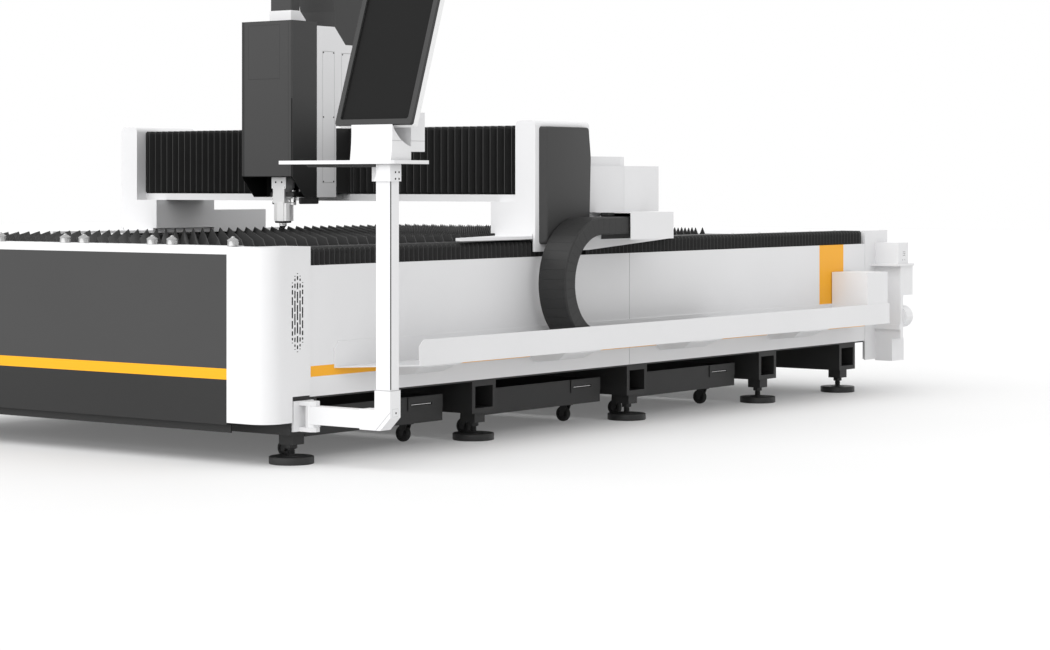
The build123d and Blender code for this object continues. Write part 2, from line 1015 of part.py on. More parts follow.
def end_boxes():
    profile = outline(
        [
            (end_inner, gantry_top),
            (gantry_half, gantry_top),
            (gantry_half, skirt_bottom),
            (gantry_half - skirt_sheet, skirt_bottom),
            (gantry_half - skirt_sheet, leg_bottom),
            (leg_inner, leg_bottom),
            (leg_inner, gantry_shoulder),
            (end_inner, gantry_shoulder),
        ]
    )
    top_corners = profile.vertices().group_by(Axis.Y)[-1]
    shell = along_y(fillet(top_corners, gantry_round), gantry_front, gantry_rear)
    tip = gantry_rear + tail_reach, leg_bottom - tail_drop
    tail = outline(
        [
            (gantry_rear, skirt_bottom),
            tip,
            (tip[0], tip[1] + tail_tip),
            (gantry_rear, leg_bottom),
        ]
    )
    return mirrored(shell + along_x(tail, gantry_half - skirt_sheet, gantry_half))


def end_covers():
    shape = outline(
        [
            (end_cover_front, end_cover_bottom),
            (end_cover_rear - end_cover_toe, end_cover_bottom),
            (end_cover_rear, end_cover_waist),
            (end_cover_rear - end_cover_lean, end_cover_top),
            (end_cover_front, end_cover_top),
        ]
    )
    cover = along_x(shape, gantry_half, gantry_half + end_cover_depth)
    upright_edge = cover.faces().sort_by(Axis.X)[-1].edges().filter_by(Axis.Z).sort_by(Axis.Y)[0]
    return mirrored(chamfer(upright_edge, end_cover_bevel))


def gantry_girder():
    profile = outline(
        [
            (girder_lip_front, girder_bottom),
            (girder_rear, girder_bottom),
            (girder_rear, girder_top),
            (girder_front, girder_top),
            (girder_front, girder_lip_top),
            (girder_lip_front, girder_lip_top),
        ]
    )
    return [along_x(profile, -end_inner, end_inner)]


def saddles():
    plate_bottom = leg_bottom - saddle_plate
    foot = block((saddle_inner, saddle_outer), (gantry_front, gantry_rear), (plate_bottom, leg_bottom))
    foot += block((leg_inner, saddle_outer), (gantry_rear, leg_rear), (plate_bottom, leg_rear_top))
    wing_front = outline(
        [
            (saddle_outer, gantry_front),
            (saddle_outer, saddle_tip_front),
            (saddle_outer - saddle_tip_width, saddle_tip_front),
            (saddle_inner, gantry_front),
        ]
    )
    wing_rear = outline(
        [
            (saddle_outer, leg_rear),
            (saddle_outer, saddle_tip_rear),
            (saddle_outer - saddle_tip_width, saddle_tip_rear),
            (saddle_inner, leg_rear),
        ]
    )
    foot += along_z(wing_front + wing_rear, plate_bottom, plate_bottom + saddle_sheet)
    return mirrored(foot)


def bearing_blocks():
    middle = (beam_inner + tube_end) / 2
    plate_bottom = leg_bottom - saddle_plate
    rail_half = rail_width / 2 + guide_gap
    blocks = []
    for i in range(2):
        start = block_first + (block_length + block_gap) * i
        truck = block(
            (middle - block_width / 2, middle + block_width / 2),
            (start, start + block_length),
            (beam_top + block_lift, plate_bottom),
        )
        truck -= block(
            (middle - rail_half, middle + rail_half),
            (start - overrun, start + block_length + overrun),
            (beam_top, beam_top + rail_height + guide_gap),
        )
        rack_side = middle - rail_width / 2 - rack_gap + guide_gap
        truck -= block(
            (middle - block_width, rack_side),
            (start - overrun, start + block_length + overrun),
            (beam_top, beam_top + rack_height + guide_gap),
        )
        blocks += mirrored(truck)
    return blocks


def cable_box():
    run = (gantry_rear, cable_box_rear)
    tray = block((cable_box_inner, cable_box_outer), run, (chain_box_top, cable_box_top))
    tray += block(
        (cable_box_inner + cable_lid_inset, cable_box_outer - cable_lid_inset),
        (gantry_rear, gantry_rear + cable_lid_length),
        (cable_box_top, cable_box_top + cable_lid_height),
    )
    return [tray]


def cross_rails():
    rails = []
    for bottom in (cross_rail_lower, cross_rail_upper):
        rails.append(
            block(
                (-cross_rail_half, cross_rail_half),
                (girder_front - cross_rail_depth, girder_front),
                (bottom, bottom + cross_rail),
            )
        )
    return rails


def cross_rack():
    middle = (cross_rail_lower + cross_rail_upper + cross_rail) / 2
    return [
        block(
            (-cross_rail_half, cross_rail_half),
            (girder_front - cross_rack_depth, girder_front),
            (middle - cross_rack_height / 2, middle + cross_rack_height / 2),
        )
    ]


def cross_bellows():
    start = back_plate_half + running_gap
    end = end_inner - running_gap
    folds = max(round((end - start) / cross_bellows_pitch), 1)
    step = (end - start) / folds
    back = cross_fold_back + cross_bellows_wall
    edge = [(start, back), (start, cross_fold_back)]
    for i in range(folds):
        edge += [(start + step * (i + 1 / 2), cross_fold_front), (start + step * (i + 1), cross_fold_back)]
    edge.append((end, back))
    bottom = girder_lip_top + running_gap
    run = along_z(outline(edge), bottom, cross_bellows_top)
    rear = girder_front - running_gap
    for low in (bottom, cross_bellows_top - cross_bellows_wall):
        run += block((start, end), (back, rear), (low, low + cross_bellows_wall))
    return mirrored(run)


def carriage_body():
    profile = outline(
        [
            (body_front, body_bottom),
            (body_rear, body_bottom),
            (body_rear, overhang_bottom),
            (overhang_rear, overhang_bottom),
            (overhang_rear, overhang_top),
            (body_rear + overhang_run, overhang_top),
            (body_rear - body_crown_inset, body_top),
            (body_front, body_top),
        ]
    )
    body = along_x(profile, -carriage_half, carriage_half)
    mount = block(
        (-motor_mount_half, motor_mount_half),
        (motor_mount_front, motor_mount_rear),
        (cover_top, cover_top + motor_mount_height),
    )
    rim = mount.edges().filter_by(Axis.X).group_by(Axis.Y)[-1].sort_by(Axis.Z)[-1]
    mount = chamfer(rim, motor_mount_chamfer)
    web_run = (body_front, motor_mount_rear)
    web = block((-motor_mount_half, motor_mount_half), web_run, (body_top, cover_top))
    return [body + web + mount]


def carriage_plate():
    run = (body_rear, back_plate_rear)
    plate = block((-back_plate_half, back_plate_half), run, (back_plate_bottom, back_plate_top))
    for rail in (cross_rail_lower, cross_rail_upper):
        middle = rail + cross_rail / 2
        for side in (-1, 1):
            edge = side * (back_plate_half - truck_inset)
            inner = edge - side * truck_length
            plate += block(
                (min(edge, inner), max(edge, inner)),
                (back_plate_rear, truck_rear),
                (middle - truck_height / 2, middle + truck_height / 2),
            )
        half = cross_rail / 2 + guide_gap
        plate -= block(
            (-back_plate_half - overrun, back_plate_half + overrun),
            (girder_front - cross_rail_depth - guide_gap, girder_front),
            (middle - half, middle + half),
        )
    return [plate]


def cover_plan(inset):
    half = carriage_half - inset
    front = cover_front + inset
    bevel = cover_bevel - inset * (2 - math.sqrt(2))
    return outline(
        [
            (half, cover_rear + (overrun if inset else 0)),
            (half, front + bevel),
            (half - bevel, front),
            (bevel - half, front),
            (-half, front + bevel),
            (-half, cover_rear + (overrun if inset else 0)),
        ]
    )


def head_cover():
    shell = along_z(cover_plan(0), body_bottom, cover_top)
    shell -= along_z(cover_plan(cover_sheet), body_bottom - overrun, cover_top - cover_sheet)
    slope = outline(
        [
            (cover_front - overrun, body_bottom - overrun),
            (cover_front + cover_slope, body_bottom - overrun),
            (cover_front + cover_slope, body_bottom),
            (cover_front, cover_nose),
            (cover_front - overrun, cover_nose),
        ]
    )
    shell -= along_x(slope, -carriage_half - overrun, carriage_half + overrun)
    return [shell]


def lift_motor():
    bottom = cover_top + motor_mount_height
    front = motor_mount_front + motor_gap
    motor = block((-motor_half, motor_half), (front, front + motor_depth), (bottom, bottom + motor_height))
    posts = motor.edges().filter_by(Axis.Z)
    return [chamfer(posts, motor_gap)]


def cable_guide():
    shape = outline(
        [
            (body_rear - body_crown_inset, body_top),
            (body_rear + overhang_run, overhang_top),
            (overhang_rear, overhang_top),
            (overhang_rear, guide_top),
            (body_rear - guide_lean, guide_top),
            (body_rear - body_crown_inset, body_top + guide_knee),
        ]
    )
    return [along_x(shape, carriage_half - guide_width, carriage_half)]


def lift_rails():
    rails = []
    for x in (-lift_rail_x, lift_rail_x):
        rails.append(
            block(
                (x - lift_rail_width / 2, x + lift_rail_width / 2),
                (body_front - lift_rail_depth, body_front),
                (lift_rail_bottom, lift_rail_top),
            )
        )
    return rails


def head_slide():
    rear = body_front - lift_rail_depth / 2
    slide = block((-slide_half, slide_half), (slide_front, rear), (slide_bottom, slide_top))
    half = lift_rail_width / 2 + guide_gap
    for x in (-lift_rail_x, lift_rail_x):
        slide -= block(
            (x - half, x + half),
            (body_front - lift_rail_depth - guide_gap, rear + overrun),
            (slide_bottom - overrun, slide_top + overrun),
        )
    return [slide]


def laser_head():
    def tier(width, depth, bottom, top):
        return block((-width / 2, width / 2), (head_y - depth / 2, head_y + depth / 2), (bottom, top))

    head = tier(head_block_width, head_block_depth, head_block_bottom, slide_bottom + head_block_depth)
    head += tier(head_neck_width, head_neck_depth, head_neck_bottom, head_block_bottom)
    body = RegularPolygon(head_body_width / 2, 8, major_radius=False)
    head += along_z(Pos(0, head_y) * body, head_body_bottom, head_neck_bottom)
    lens = (head_lens_shift, head_y)
    head += faceted(head_lens_radius, port_sides, lens, head_body_bottom, head_neck_bottom)
    port = Pos(head_y, head_port_z + head_port_radius) * RegularPolygon(head_port_radius, port_sides)
    return [head + along_x(port, 0, head_port_reach)]


def nozzle():
    place = (0, head_y)
    cone = faceted_cone(nozzle_nut_radius, nozzle_tip_radius, nozzle_sides, nozzle_tip_length)
    tip = Pos(*place, nozzle_nut_bottom) * Rotation(180, 0, 0) * cone
    tip += faceted(nozzle_nut_radius, nozzle_sides, place, nozzle_nut_bottom, nozzle_ring_bottom)
    tip += faceted(nozzle_ring_radius, nozzle_sides, place, nozzle_ring_bottom, head_body_bottom)
    return [tip]


def arm_bracket():
    plate_run = (bracket_front, bracket_rear)
    bracket = block((tube_end, tube_end + bracket_plate), plate_run, (bracket_bottom, bracket_top))
    tongue = outline(
        [
            (tube_end, hinge_y - barrel_radius),
            (hinge_x + lug_point, hinge_y - barrel_radius),
            (hinge_x + barrel_radius, hinge_y - lug_point),
            (hinge_x + barrel_radius, hinge_y + lug_point),
            (hinge_x + lug_point, hinge_y + barrel_radius),
            (tube_end, hinge_y + barrel_radius),
        ]
    )
    for bottom in (bracket_bottom, bracket_top - lug_thickness):
        bracket += along_z(tongue, bottom, bottom + lug_thickness)
    bracket += upright(hinge_pin / 2, hinge_x, hinge_y, bracket_bottom, bracket_top)
    return [bracket]


def swing_arm():
    profile = outline(
        [
            (hinge_x, arm_bottom),
            (arm_post_right - arm_elbow, arm_bottom),
            (arm_post_right, arm_bottom + arm_elbow),
            (arm_post_right, arm_top),
            (arm_post_x, arm_top),
            (arm_post_x, arm_shoulder),
            (hinge_x, arm_shoulder),
        ]
    )
    arm = along_y(profile, hinge_y - arm_width / 2, hinge_y + arm_width / 2)
    sleeve_start = arm_post_x - sleeve_reach
    sleeve = outline(
        [
            (sleeve_start, arm_bottom - sleeve_sheet),
            (arm_post_right - arm_elbow, arm_bottom - sleeve_sheet),
            (arm_post_right + sleeve_sheet, arm_bottom + arm_elbow),
            (arm_post_right + sleeve_sheet, arm_bottom + sleeve_height),
            (arm_post_x - sleeve_sheet, arm_bottom + sleeve_height),
            (arm_post_x - sleeve_sheet, arm_shoulder + sleeve_sheet),
            (sleeve_start, arm_shoulder + sleeve_sheet),
        ]
    )
    sleeve_half = arm_width / 2 + sleeve_sheet
    arm += along_y(sleeve, hinge_y - sleeve_half, hinge_y + sleeve_half)
    barrel_bottom = bracket_bottom + lug_thickness + running_gap
    barrel_top = bracket_top - lug_thickness - running_gap
    barrel = RegularPolygon(barrel_radius, 8, major_radius=False)
    arm += along_z(Pos(hinge_x, hinge_y) * barrel, barrel_bottom, barrel_top)
    arm -= upright(hinge_pin / 2 + hinge_bore_gap, hinge_x, hinge_y, bracket_bottom, bracket_top)
    return [arm]


def tray_gusset():
    bottom = arm_top - gusset_height
    profile = outline(
        [
            (arm_post_x - gusset_sheet, bottom),
            (arm_post_right + gusset_sheet, bottom),
            (arm_post_right + gusset_sheet, arm_top),
            (arm_post_x - gusset_sheet + gusset_clip, arm_top),
        ]
    )
    half = arm_width / 2
    gusset = along_y(profile, hinge_y - half - gusset_sheet, hinge_y + half + gusset_sheet)
    gusset -= block(
        (arm_post_x, arm_post_right), (hinge_y - half, hinge_y + half), (bottom - overrun, arm_top + overrun)
    )
    wing = (arm_post_x - gusset_sheet - gusset_wing, arm_post_right + gusset_sheet)
    return [gusset + block(wing, (hinge_y + half, hinge_y + half + gusset_sheet), (bottom, arm_top))]


def keyboard_tray():
    sheet = Rectangle(tray_length, tray_depth, align=(Align.MIN, Align.MIN))
    plan = Pos(tray_left, tray_front) * chamfer(sheet.vertices(), tray_corner)
    tray = along_z(plan, arm_top, arm_top + tray_rim)
    pocket = along_z(offset(plan, -tray_sheet), arm_top + tray_sheet, arm_top + tray_rim + overrun)
    return [tray - pocket]


def monitor_stand():
    base = arm_top + tray_sheet
    hollow = math.hypot(monitor_lead, monitor_drop) + stand_clear

    def hollow_at(y):
        return y, tilt_axis_z - math.sqrt(hollow**2 - (y - tilt_axis_y) ** 2)

    lip = hollow_at(stand_neck_front)[1]
    front = ThreePointArc(
        (stand_front, base),
        ((stand_front + 2 * stand_neck_front) / 3, (2 * base + lip) / 3),
        (stand_neck_front, lip),
    )
    seat = ThreePointArc(front @ 1, hollow_at((stand_neck_front + stand_rear) / 2), hollow_at(stand_rear))
    rest = Polyline(seat @ 1, (stand_rear, base), front @ 0)
    left = monitor_middle - stand_half
    right = monitor_middle + stand_half
    stand = along_x(make_face([front, seat, rest]), left, right)
    stand += block((left, right), (stand_rear, column_rear), (column_bottom, column_top))
    ear = outline(
        [
            (tilt_axis_y - ear_radius, column_top),
            (tilt_axis_y + ear_radius, column_top),
            (tilt_axis_y + ear_radius, tilt_axis_z + ear_point),
            (tilt_axis_y + ear_point, tilt_axis_z + ear_radius),
            (tilt_axis_y - ear_point, tilt_axis_z + ear_radius),
            (tilt_axis_y - ear_radius, tilt_axis_z + ear_point),
        ]
    )
    for inner in (-ear_inner - ear_width, ear_inner):
        stand += along_x(ear, monitor_middle + inner, monitor_middle + inner + ear_width)
    reach = ear_inner + ear_width
    pin_run = (monitor_middle - reach, monitor_middle + reach)
    return [stand + crosswise(tilt_pin_radius, *pin_run, tilt_axis_y, tilt_axis_z)]


def tilted(piece):
    return Pos(monitor_middle, monitor_front, monitor_bottom) * Rotation(-monitor_tilt, 0, 0) * piece


def monitor_plan(inset):
    size = Rectangle(monitor_width - 2 * inset, monitor_height - 2 * inset)
    return Pos(0, monitor_height / 2) * chamfer(size.vertices(), monitor_corner)


def monitor_bezel():
    frame = along_y(monitor_plan(0) - monitor_plan(bezel_width), 0, bezel_depth)
    return [tilted(frame)]


def monitor_screen():
    sheet = along_y(monitor_plan(bezel_width), bezel_depth - screen_depth, bezel_depth)
    return [tilted(sheet)]


def monitor_shell():
    half = monitor_width / 2
    back = bezel_depth + shell_rim
    shell = along_y(monitor_plan(0), bezel_depth, back)
    hump = narrowing(Pos(0, -monitor_height) * monitor_plan(0), shell_taper, monitor_depth - back)
    shell = tilted(shell + Pos(0, back, 0) * Rotation(-90, 0, 0) * hump)
    knuckle_reach = ear_inner - running_gap
    knuckle = crosswise(
        ear_radius, monitor_middle - knuckle_reach, monitor_middle + knuckle_reach, tilt_axis_y, tilt_axis_z
    )
    angle = math.radians(monitor_tilt)
    down = monitor_depth - bezel_depth
    seat = (tilt_axis_y - down * math.cos(angle), tilt_axis_z + down * math.sin(angle))
    across = (ear_radius * math.sin(angle), ear_radius * math.cos(angle))
    web = outline(
        [
            (tilt_axis_y - across[0], tilt_axis_z - across[1]),
            (seat[0] - across[0], seat[1] - across[1]),
            (seat[0] + across[0], seat[1] + across[1]),
            (tilt_axis_y + across[0], tilt_axis_z + across[1]),
        ]
    )
    knuckle += along_x(web, monitor_middle - knuckle_reach, monitor_middle + knuckle_reach)
    shell += knuckle
    bore = tilt_pin_radius + hinge_bore_gap
    return [shell - crosswise(bore, monitor_middle - half, monitor_middle + half, tilt_axis_y, tilt_axis_z)]


def scrap_cart(start):
    end = start + cart_width
    rear = cart_front - cart_depth
    bin_front = cart_front - cart_panel_sheet
    cart = block((rear, bin_front), (start, end), (cart_floor, cart_wall_top))
    cart -= block(
        (rear + cart_sheet, bin_front - cart_sheet),
        (start + cart_sheet, end - cart_sheet),
        (cart_floor + cart_sheet, cart_wall_top + overrun),
    )
    cart += block((bin_front, cart_front), (start, end), (cart_panel_bottom, cart_panel_top))
    slot_end = end - cart_slot_inset
    slot_top = cart_panel_top - cart_slot_drop
    cart -= block(
        (bin_front - cart_sheet - overrun, cart_front + overrun),
        (slot_end - cart_slot_width, slot_end),
        (slot_top - cart_slot_height, slot_top),
    )
    for x in (wheel_front_x, wheel_rear_x):
        for y in (start + wheel_inset_y, end - wheel_inset_y):
            cart += caster_fork(x, y)
    return [cart]


def caster_fork(x, y):
    half = wheel_width / 2 + running_gap
    cheek = outline(
        [
            (x - fork_length / 2 + fork_trail, cart_floor),
            (x + fork_length / 2 + fork_trail, cart_floor),
            (x + fork_drop, wheel_radius - fork_drop),
            (x - fork_drop, wheel_radius - fork_drop),
        ]
    )
    fork = along_y(cheek, y - half - fork_sheet, y - half) + along_y(cheek, y + half, y + half + fork_sheet)
    crown_bottom = 2 * wheel_radius + fork_sheet
    fork += block(
        (x - fork_length / 2 + fork_trail, x + fork_length / 2 + fork_trail),
        (y - half - fork_sheet, y + half + fork_sheet),
        (crown_bottom, cart_floor),
    )
    return fork


def caster_wheels(start, x):
    wheels = []
    for y in (start + wheel_inset_y, start + cart_width - wheel_inset_y):
        tread = Pos(x, wheel_radius) * RegularPolygon(wheel_radius, wheel_sides)
        wheels.append(along_y(tread, y - wheel_width / 2, y + wheel_width / 2))
    return wheels


def assemble():
    makers = [
        cross_tubes, levelling_feet, side_beams, end_beams, side_covers, front_panel, front_top_rail,
        corner_posts, slats, slat_rests, side_decks, rear_deck, scrap_chutes, ball_studs, bed_rails,
        bed_racks, front_bellows, rear_bellows, cable_trough, junction_boxes, rear_rack,
        chain_lower_run, chain_bend, chain_upper_run, chain_end_box, end_boxes, end_covers,
        gantry_girder, saddles, bearing_blocks, cable_box, cross_rails, cross_rack, cross_bellows,
        carriage_body, carriage_plate, head_cover, lift_motor, cable_guide, lift_rails, head_slide,
        laser_head, nozzle, arm_bracket, swing_arm, tray_gusset, keyboard_tray, monitor_stand,
        monitor_shell, monitor_bezel, monitor_screen,
    ]  # fmt: skip
    nodes = {maker.__name__: maker() for maker in makers}
    for i in range(cart_count):
        start = row_places[i] + cart_start
        nodes[f"scrap_cart_{i + 1}"] = scrap_cart(start)
        nodes[f"cart_{i + 1}_front_wheels"] = caster_wheels(start, wheel_front_x)
        nodes[f"cart_{i + 1}_rear_wheels"] = caster_wheels(start, wheel_rear_x)
    return {name: [solid for piece in pieces for solid in piece.solids()] for name, pieces in nodes.items()}


def write(nodes):
    box = Compound([solid for solids in nodes.values() for solid in solids]).bounding_box()
    middle = (box.min + box.max) / 2
    shift = Pos(-middle.X, -middle.Y, -box.min.Z)
    print("origin moved by", [round(v, 3) for v in shift.position], "box", [round(v, 2) for v in box.size])
    os.makedirs("parts", exist_ok=True)
    for name, solids in nodes.items():
        export_step(Compound([shift * solid for solid in solids]), f"parts/{name}.step")


write(assemble())
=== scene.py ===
import math

import bmesh
import bpy
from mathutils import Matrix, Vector


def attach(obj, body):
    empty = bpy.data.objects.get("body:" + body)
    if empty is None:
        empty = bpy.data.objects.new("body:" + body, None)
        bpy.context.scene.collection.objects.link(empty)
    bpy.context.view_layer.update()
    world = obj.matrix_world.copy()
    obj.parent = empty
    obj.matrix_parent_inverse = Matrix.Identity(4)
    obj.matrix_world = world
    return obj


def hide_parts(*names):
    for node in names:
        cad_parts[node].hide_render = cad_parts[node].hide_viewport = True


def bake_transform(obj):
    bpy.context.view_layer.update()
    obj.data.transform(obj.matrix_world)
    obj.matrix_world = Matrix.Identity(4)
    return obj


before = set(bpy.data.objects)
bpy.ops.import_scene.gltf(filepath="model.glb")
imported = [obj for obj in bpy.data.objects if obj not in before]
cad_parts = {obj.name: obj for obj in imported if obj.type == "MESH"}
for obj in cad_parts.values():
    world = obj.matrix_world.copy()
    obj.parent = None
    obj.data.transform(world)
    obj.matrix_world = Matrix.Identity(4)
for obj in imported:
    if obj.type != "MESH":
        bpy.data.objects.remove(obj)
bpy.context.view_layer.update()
scene = bpy.context.scene
print("frame loaded with", len(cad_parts), "nodes")

# places are in millimetres from the first foot row on the floor, as on a machine drawing
zeroPoint = {"x": 245.5, "y": 2114.0}


def at(x, y, z):
    return Vector(((x - zeroPoint["x"]) / 1000, (y - zeroPoint["y"]) / 1000, z / 1000))


class Term:
    # one socket in a shader sum
    def __init__(self, finish, socket):
        self.finish = finish
        self.socket = socket

    def sum(self, operation, *values):
        return self.finish.node("ShaderNodeMath", {"operation": operation}, dict(enumerate(values)))

    def __lt__(self, other):
        return self.sum("LESS_THAN", self, other)

    def __gt__(self, other):
        return self.sum("GREATER_THAN", self, other)

    def __abs__(self):
        return self.sum("ABSOLUTE", self)


def overload(symbol, operation):
    # an operator and its reflected form
    setattr(Term, f"__{symbol}__", lambda self, other: self.sum(operation, self, other))
    setattr(Term, f"__r{symbol}__", lambda self, other: self.sum(operation, other, self))


operators = {"add": "ADD", "sub": "SUBTRACT", "mul": "MULTIPLY", "truediv": "DIVIDE", "or": "MAXIMUM"}
for symbol, operation in operators.items():
    overload(symbol, operation)


class Finish:
    # a material and the nodes that make it
    def __init__(self, name):
        self.material = bpy.data.materials.new(name)
        self.material.use_nodes = True
        self.tree = self.material.node_tree
        self.shader = self.tree.nodes["Principled BSDF"]
        self.place = self.node("ShaderNodeTexCoord", {}, {}, "Object")

    def node(self, kind, settings, sockets, out=0):
        new = self.tree.nodes.new(kind)
        for key, value in settings.items():
            setattr(new, key, value)
        for key, value in sockets.items():
            self.feed(new.inputs[key], value)
        return Term(self, new.outputs[out])

    def feed(self, socket, value):
        if isinstance(value, Term):
            self.tree.links.new(value.socket, socket)
        else:
            socket.default_value = value

    def set(self, **sockets):
        for key, value in sockets.items():
            self.feed(self.shader.inputs[key.replace("_", " ")], value)

    def mix(self, factor, first, second):
        return self.node("ShaderNodeMix", {"data_type": "RGBA"}, {0: factor, 6: first, 7: second}, 2)

    def toned(self, factor, tones):
        return self.mix(factor, shade(tones[0]), shade(tones[1]))

    def stretched(self, scale):
        return self.node("ShaderNodeVectorMath", {"operation": "MULTIPLY"}, {0: self.place, 1: scale})

    def noise(self, scale, detail, vector=None):
        sockets = {"Vector": vector or self.place, "Scale": scale, "Detail": detail}
        return self.node("ShaderNodeTexNoise", {}, sockets)

    def bump(self, height, distance):
        return self.node("ShaderNodeBump", {}, {"Height": height, "Distance": distance})

    def drawing(self):
        # x, y and z of the drawing, in millimetres
        parts = [self.node("ShaderNodeSeparateXYZ", {}, {0: self.place}, axis) for axis in "XYZ"]
        return parts[0] * 1000 + zeroPoint["x"], parts[1] * 1000 + zeroPoint["y"], parts[2] * 1000


def shade(tone):
    # a colour from its 0 to 255 screen values, or a grey from one of them
    values = tone if isinstance(tone, tuple) else (tone,) * 3
    return tuple(v / 3294.6 if v < 10.3 else ((v / 255 + 0.055) / 1.055) ** 2.4 for v in values) + (1.0,)


def between(term, low, high):
    return (term > low) * (term < high)


def frameLine(across, up, box, width):
    # the outline of a rectangle on a flat face
    left, right, bottom, top = box
    outer = between(across, left - width, right + width) * between(up, bottom - width, top + width)
    inner = between(across, left + width, right - width) * between(up, bottom + width, top - width)
    return outer - inner


def shadowed(tone, mask):
    # painted shade: markings that are only darker
    return lambda finish, base, height: (finish.mix(mask(*finish.drawing()), base, shade(tone)), height)


def scored(tone, strength, mask):
    # markings that are darker and cut in
    def markings(finish, base, height):
        lines = mask(*finish.drawing())
        return finish.mix(lines * strength, base, shade(tone)), height - lines

    return markings


def sprayed(name, look, markings=None):
    # spray or powder paint: faint clouds, orange peel and a slightly uneven gloss
    finish = Finish(name)
    cloud = finish.noise(look["cloud"], 3.0)
    peel = finish.noise(look["peel"], 2.0)
    base = finish.toned(cloud, look["tones"])
    height = peel * look["relief"]
    if markings:
        base, height = markings(finish, base, height)
    finish.set(Base_Color=base, Roughness=look["rough"] + (cloud - 0.5) * 0.16 + (peel - 0.5) * 0.06)
    finish.set(Normal=finish.bump(height, 0.001), Specular_IOR_Level=look["gloss"])
    return finish.material


def metal(name, **look):
    # bare metal with fine cutting or rolling lines
    finish = Finish(name)
    lines = finish.noise(look["lines"], 3.0, finish.stretched(look["stretch"]))
    stain = finish.noise(look["stain"], 4.0)
    finish.set(Base_Color=finish.toned(stain, look["tones"]))
    finish.set(Metallic=look["metallic"], Roughness=look["rough"] + (lines - 0.5) * 0.22 + (stain - 0.5) * 0.12)
    finish.set(Normal=finish.bump(lines, look["relief"]))
    return finish.material


def moulded(name, **look):
    # injection moulded plastic or rubber: spark-eroded grain and soft sheen changes
    finish = Finish(name)
    grain = finish.node("ShaderNodeTexVoronoi", {}, {"Vector": finish.place, "Scale": look["grain"]})
    cloud = finish.noise(look["cloud"], 3.0)
    finish.set(Base_Color=finish.toned(cloud, look["tones"]))
    finish.set(Roughness=look["rough"] + (cloud - 0.5) * 0.18, Specular_IOR_Level=look["gloss"])
    finish.set(Normal=finish.bump(grain, look["relief"]))
    return finish.material


# finishes

whiteLook = {"cloud": 2.4, "peel": 420.0, "relief": 0.10, "rough": 0.42, "gloss": 0.35,
             "tones": ((216, 216, 217), (223, 223, 224))}
yellow = {"front": shade((236, 168, 24)), "side": shade((238, 168, 26))}
sideBands = {"face": 1180, "stripe": (320, 360), "blockUp": (442, 734), "blockAlong": (3752, 3986)}


def sideMarks(finish, base, height):
    # yellow stripe along the bed and the block near its rear
    x, y, z = finish.drawing()
    stripe = between(z, *sideBands["stripe"]) * (abs(x) > sideBands["face"])
    block = between(z, *sideBands["blockUp"]) * between(y, *sideBands["blockAlong"]) * (abs(x) > sideBands["face"])
    return finish.mix(stripe | block, base, yellow["side"]), height


carriageLines = {"front": (1289, 1366, 1038, 1608), "rear": (1414, 1545, 1330, 1604), "line": 1.2, "side": 147,
                 "hollow": (1253.5, 147.4, 1734)}


def carriageMarks(finish, base, height):
    # outlines of the side covers, and the shadow inside the head cover
    x, y, z = finish.drawing()
    line = carriageLines["line"]
    side = abs(x) > carriageLines["side"]
    lines = (frameLine(y, z, carriageLines["front"], line) | frameLine(y, z, carriageLines["rear"], line)) * side
    front, half, top = carriageLines["hollow"]
    hidden = (y < front) * (abs(x) < half) * (z < top)
    return finish.mix(hidden, finish.mix(lines * 0.4, base, shade(110)), shade(16)), height - lines


armLines = {"groove": (-29, -22.5), "grooveUp": (297, 1042), "grooveFace": 1627, "flanks": (-33.5, 23.5),
            "seam": (292.6, 294.8), "mitre": (1414, 1416.6), "mitreUp": (150, 218), "plate": (-20, 11, 200, 228),
            "plateLine": 0.8, "plateFace": 1631.5}


def armMarks(finish, base, height):
    # dark groove down the front edge of the post's side, the seams of the elbow sleeve and its plate
    x, y, z = finish.drawing()
    groove = (x > armLines["grooveFace"]) * between(y, *armLines["groove"]) * between(z, *armLines["grooveUp"])
    flank = (y < armLines["flanks"][0]) | (y > armLines["flanks"][1])
    seams = (between(z, *armLines["seam"])
             | between(x - z, *armLines["mitre"]) * flank * between(z, *armLines["mitreUp"]))
    plate = frameLine(y, z, armLines["plate"], armLines["plateLine"]) * (x > armLines["plateFace"])
    return finish.mix(groove | seams * 0.45 | plate * 0.3, base, shade(58)), height - groove - seams


cableBoxSeam = {"along": (2052, 2053.6), "below": 1111}


def cableBoxMarks(finish, base, height):
    # a seam across the box, and a faint painted shade on the part in front of it, near the end cover
    x, y, z = finish.drawing()
    seam = between(y, *cableBoxSeam["along"]) * (z < cableBoxSeam["below"])
    return finish.mix(seam * 0.2 | (y < cableBoxSeam["along"][0]) * 0.06, base, shade(120)), height - seam


rearJoints = {"panel": (393, 395.4), "panelFace": 4259, "deck": ((3506, 3508.4), (3853, 3855.4)), "middle": (0, 1.2),
              "deckTop": 796.5, "deckFront": 3160}


def rearMarks(finish, base, height):
    # joints between the sheets of the rear panel and the rear deck
    x, y, z = finish.drawing()
    panel = between(abs(x), *rearJoints["panel"]) * (y > rearJoints["panelFace"])
    first, second = rearJoints["deck"]
    deck = between(y, *first) | between(y, *second) | between(abs(x), *rearJoints["middle"])
    deck = deck * (z > rearJoints["deckTop"]) * (y > rearJoints["deckFront"])
    return finish.mix((panel | deck) * 0.4, base, shade(90)), height - panel - deck


# painted shade on the underside of the tray, inside the long vent slots and inside the chain hood
trayMarks = shadowed(52, lambda x, y, z: z < 1105.6)
postMarks = shadowed(26, lambda x, y, z: between(abs(x), 1150, 1193.6) * between(y, -74, -4) * between(z, 400, 722))
hoodMarks = shadowed(20, lambda x, y, z: between(x, 1233.5, 1388.5) * (z < 911) * (y > 1841))
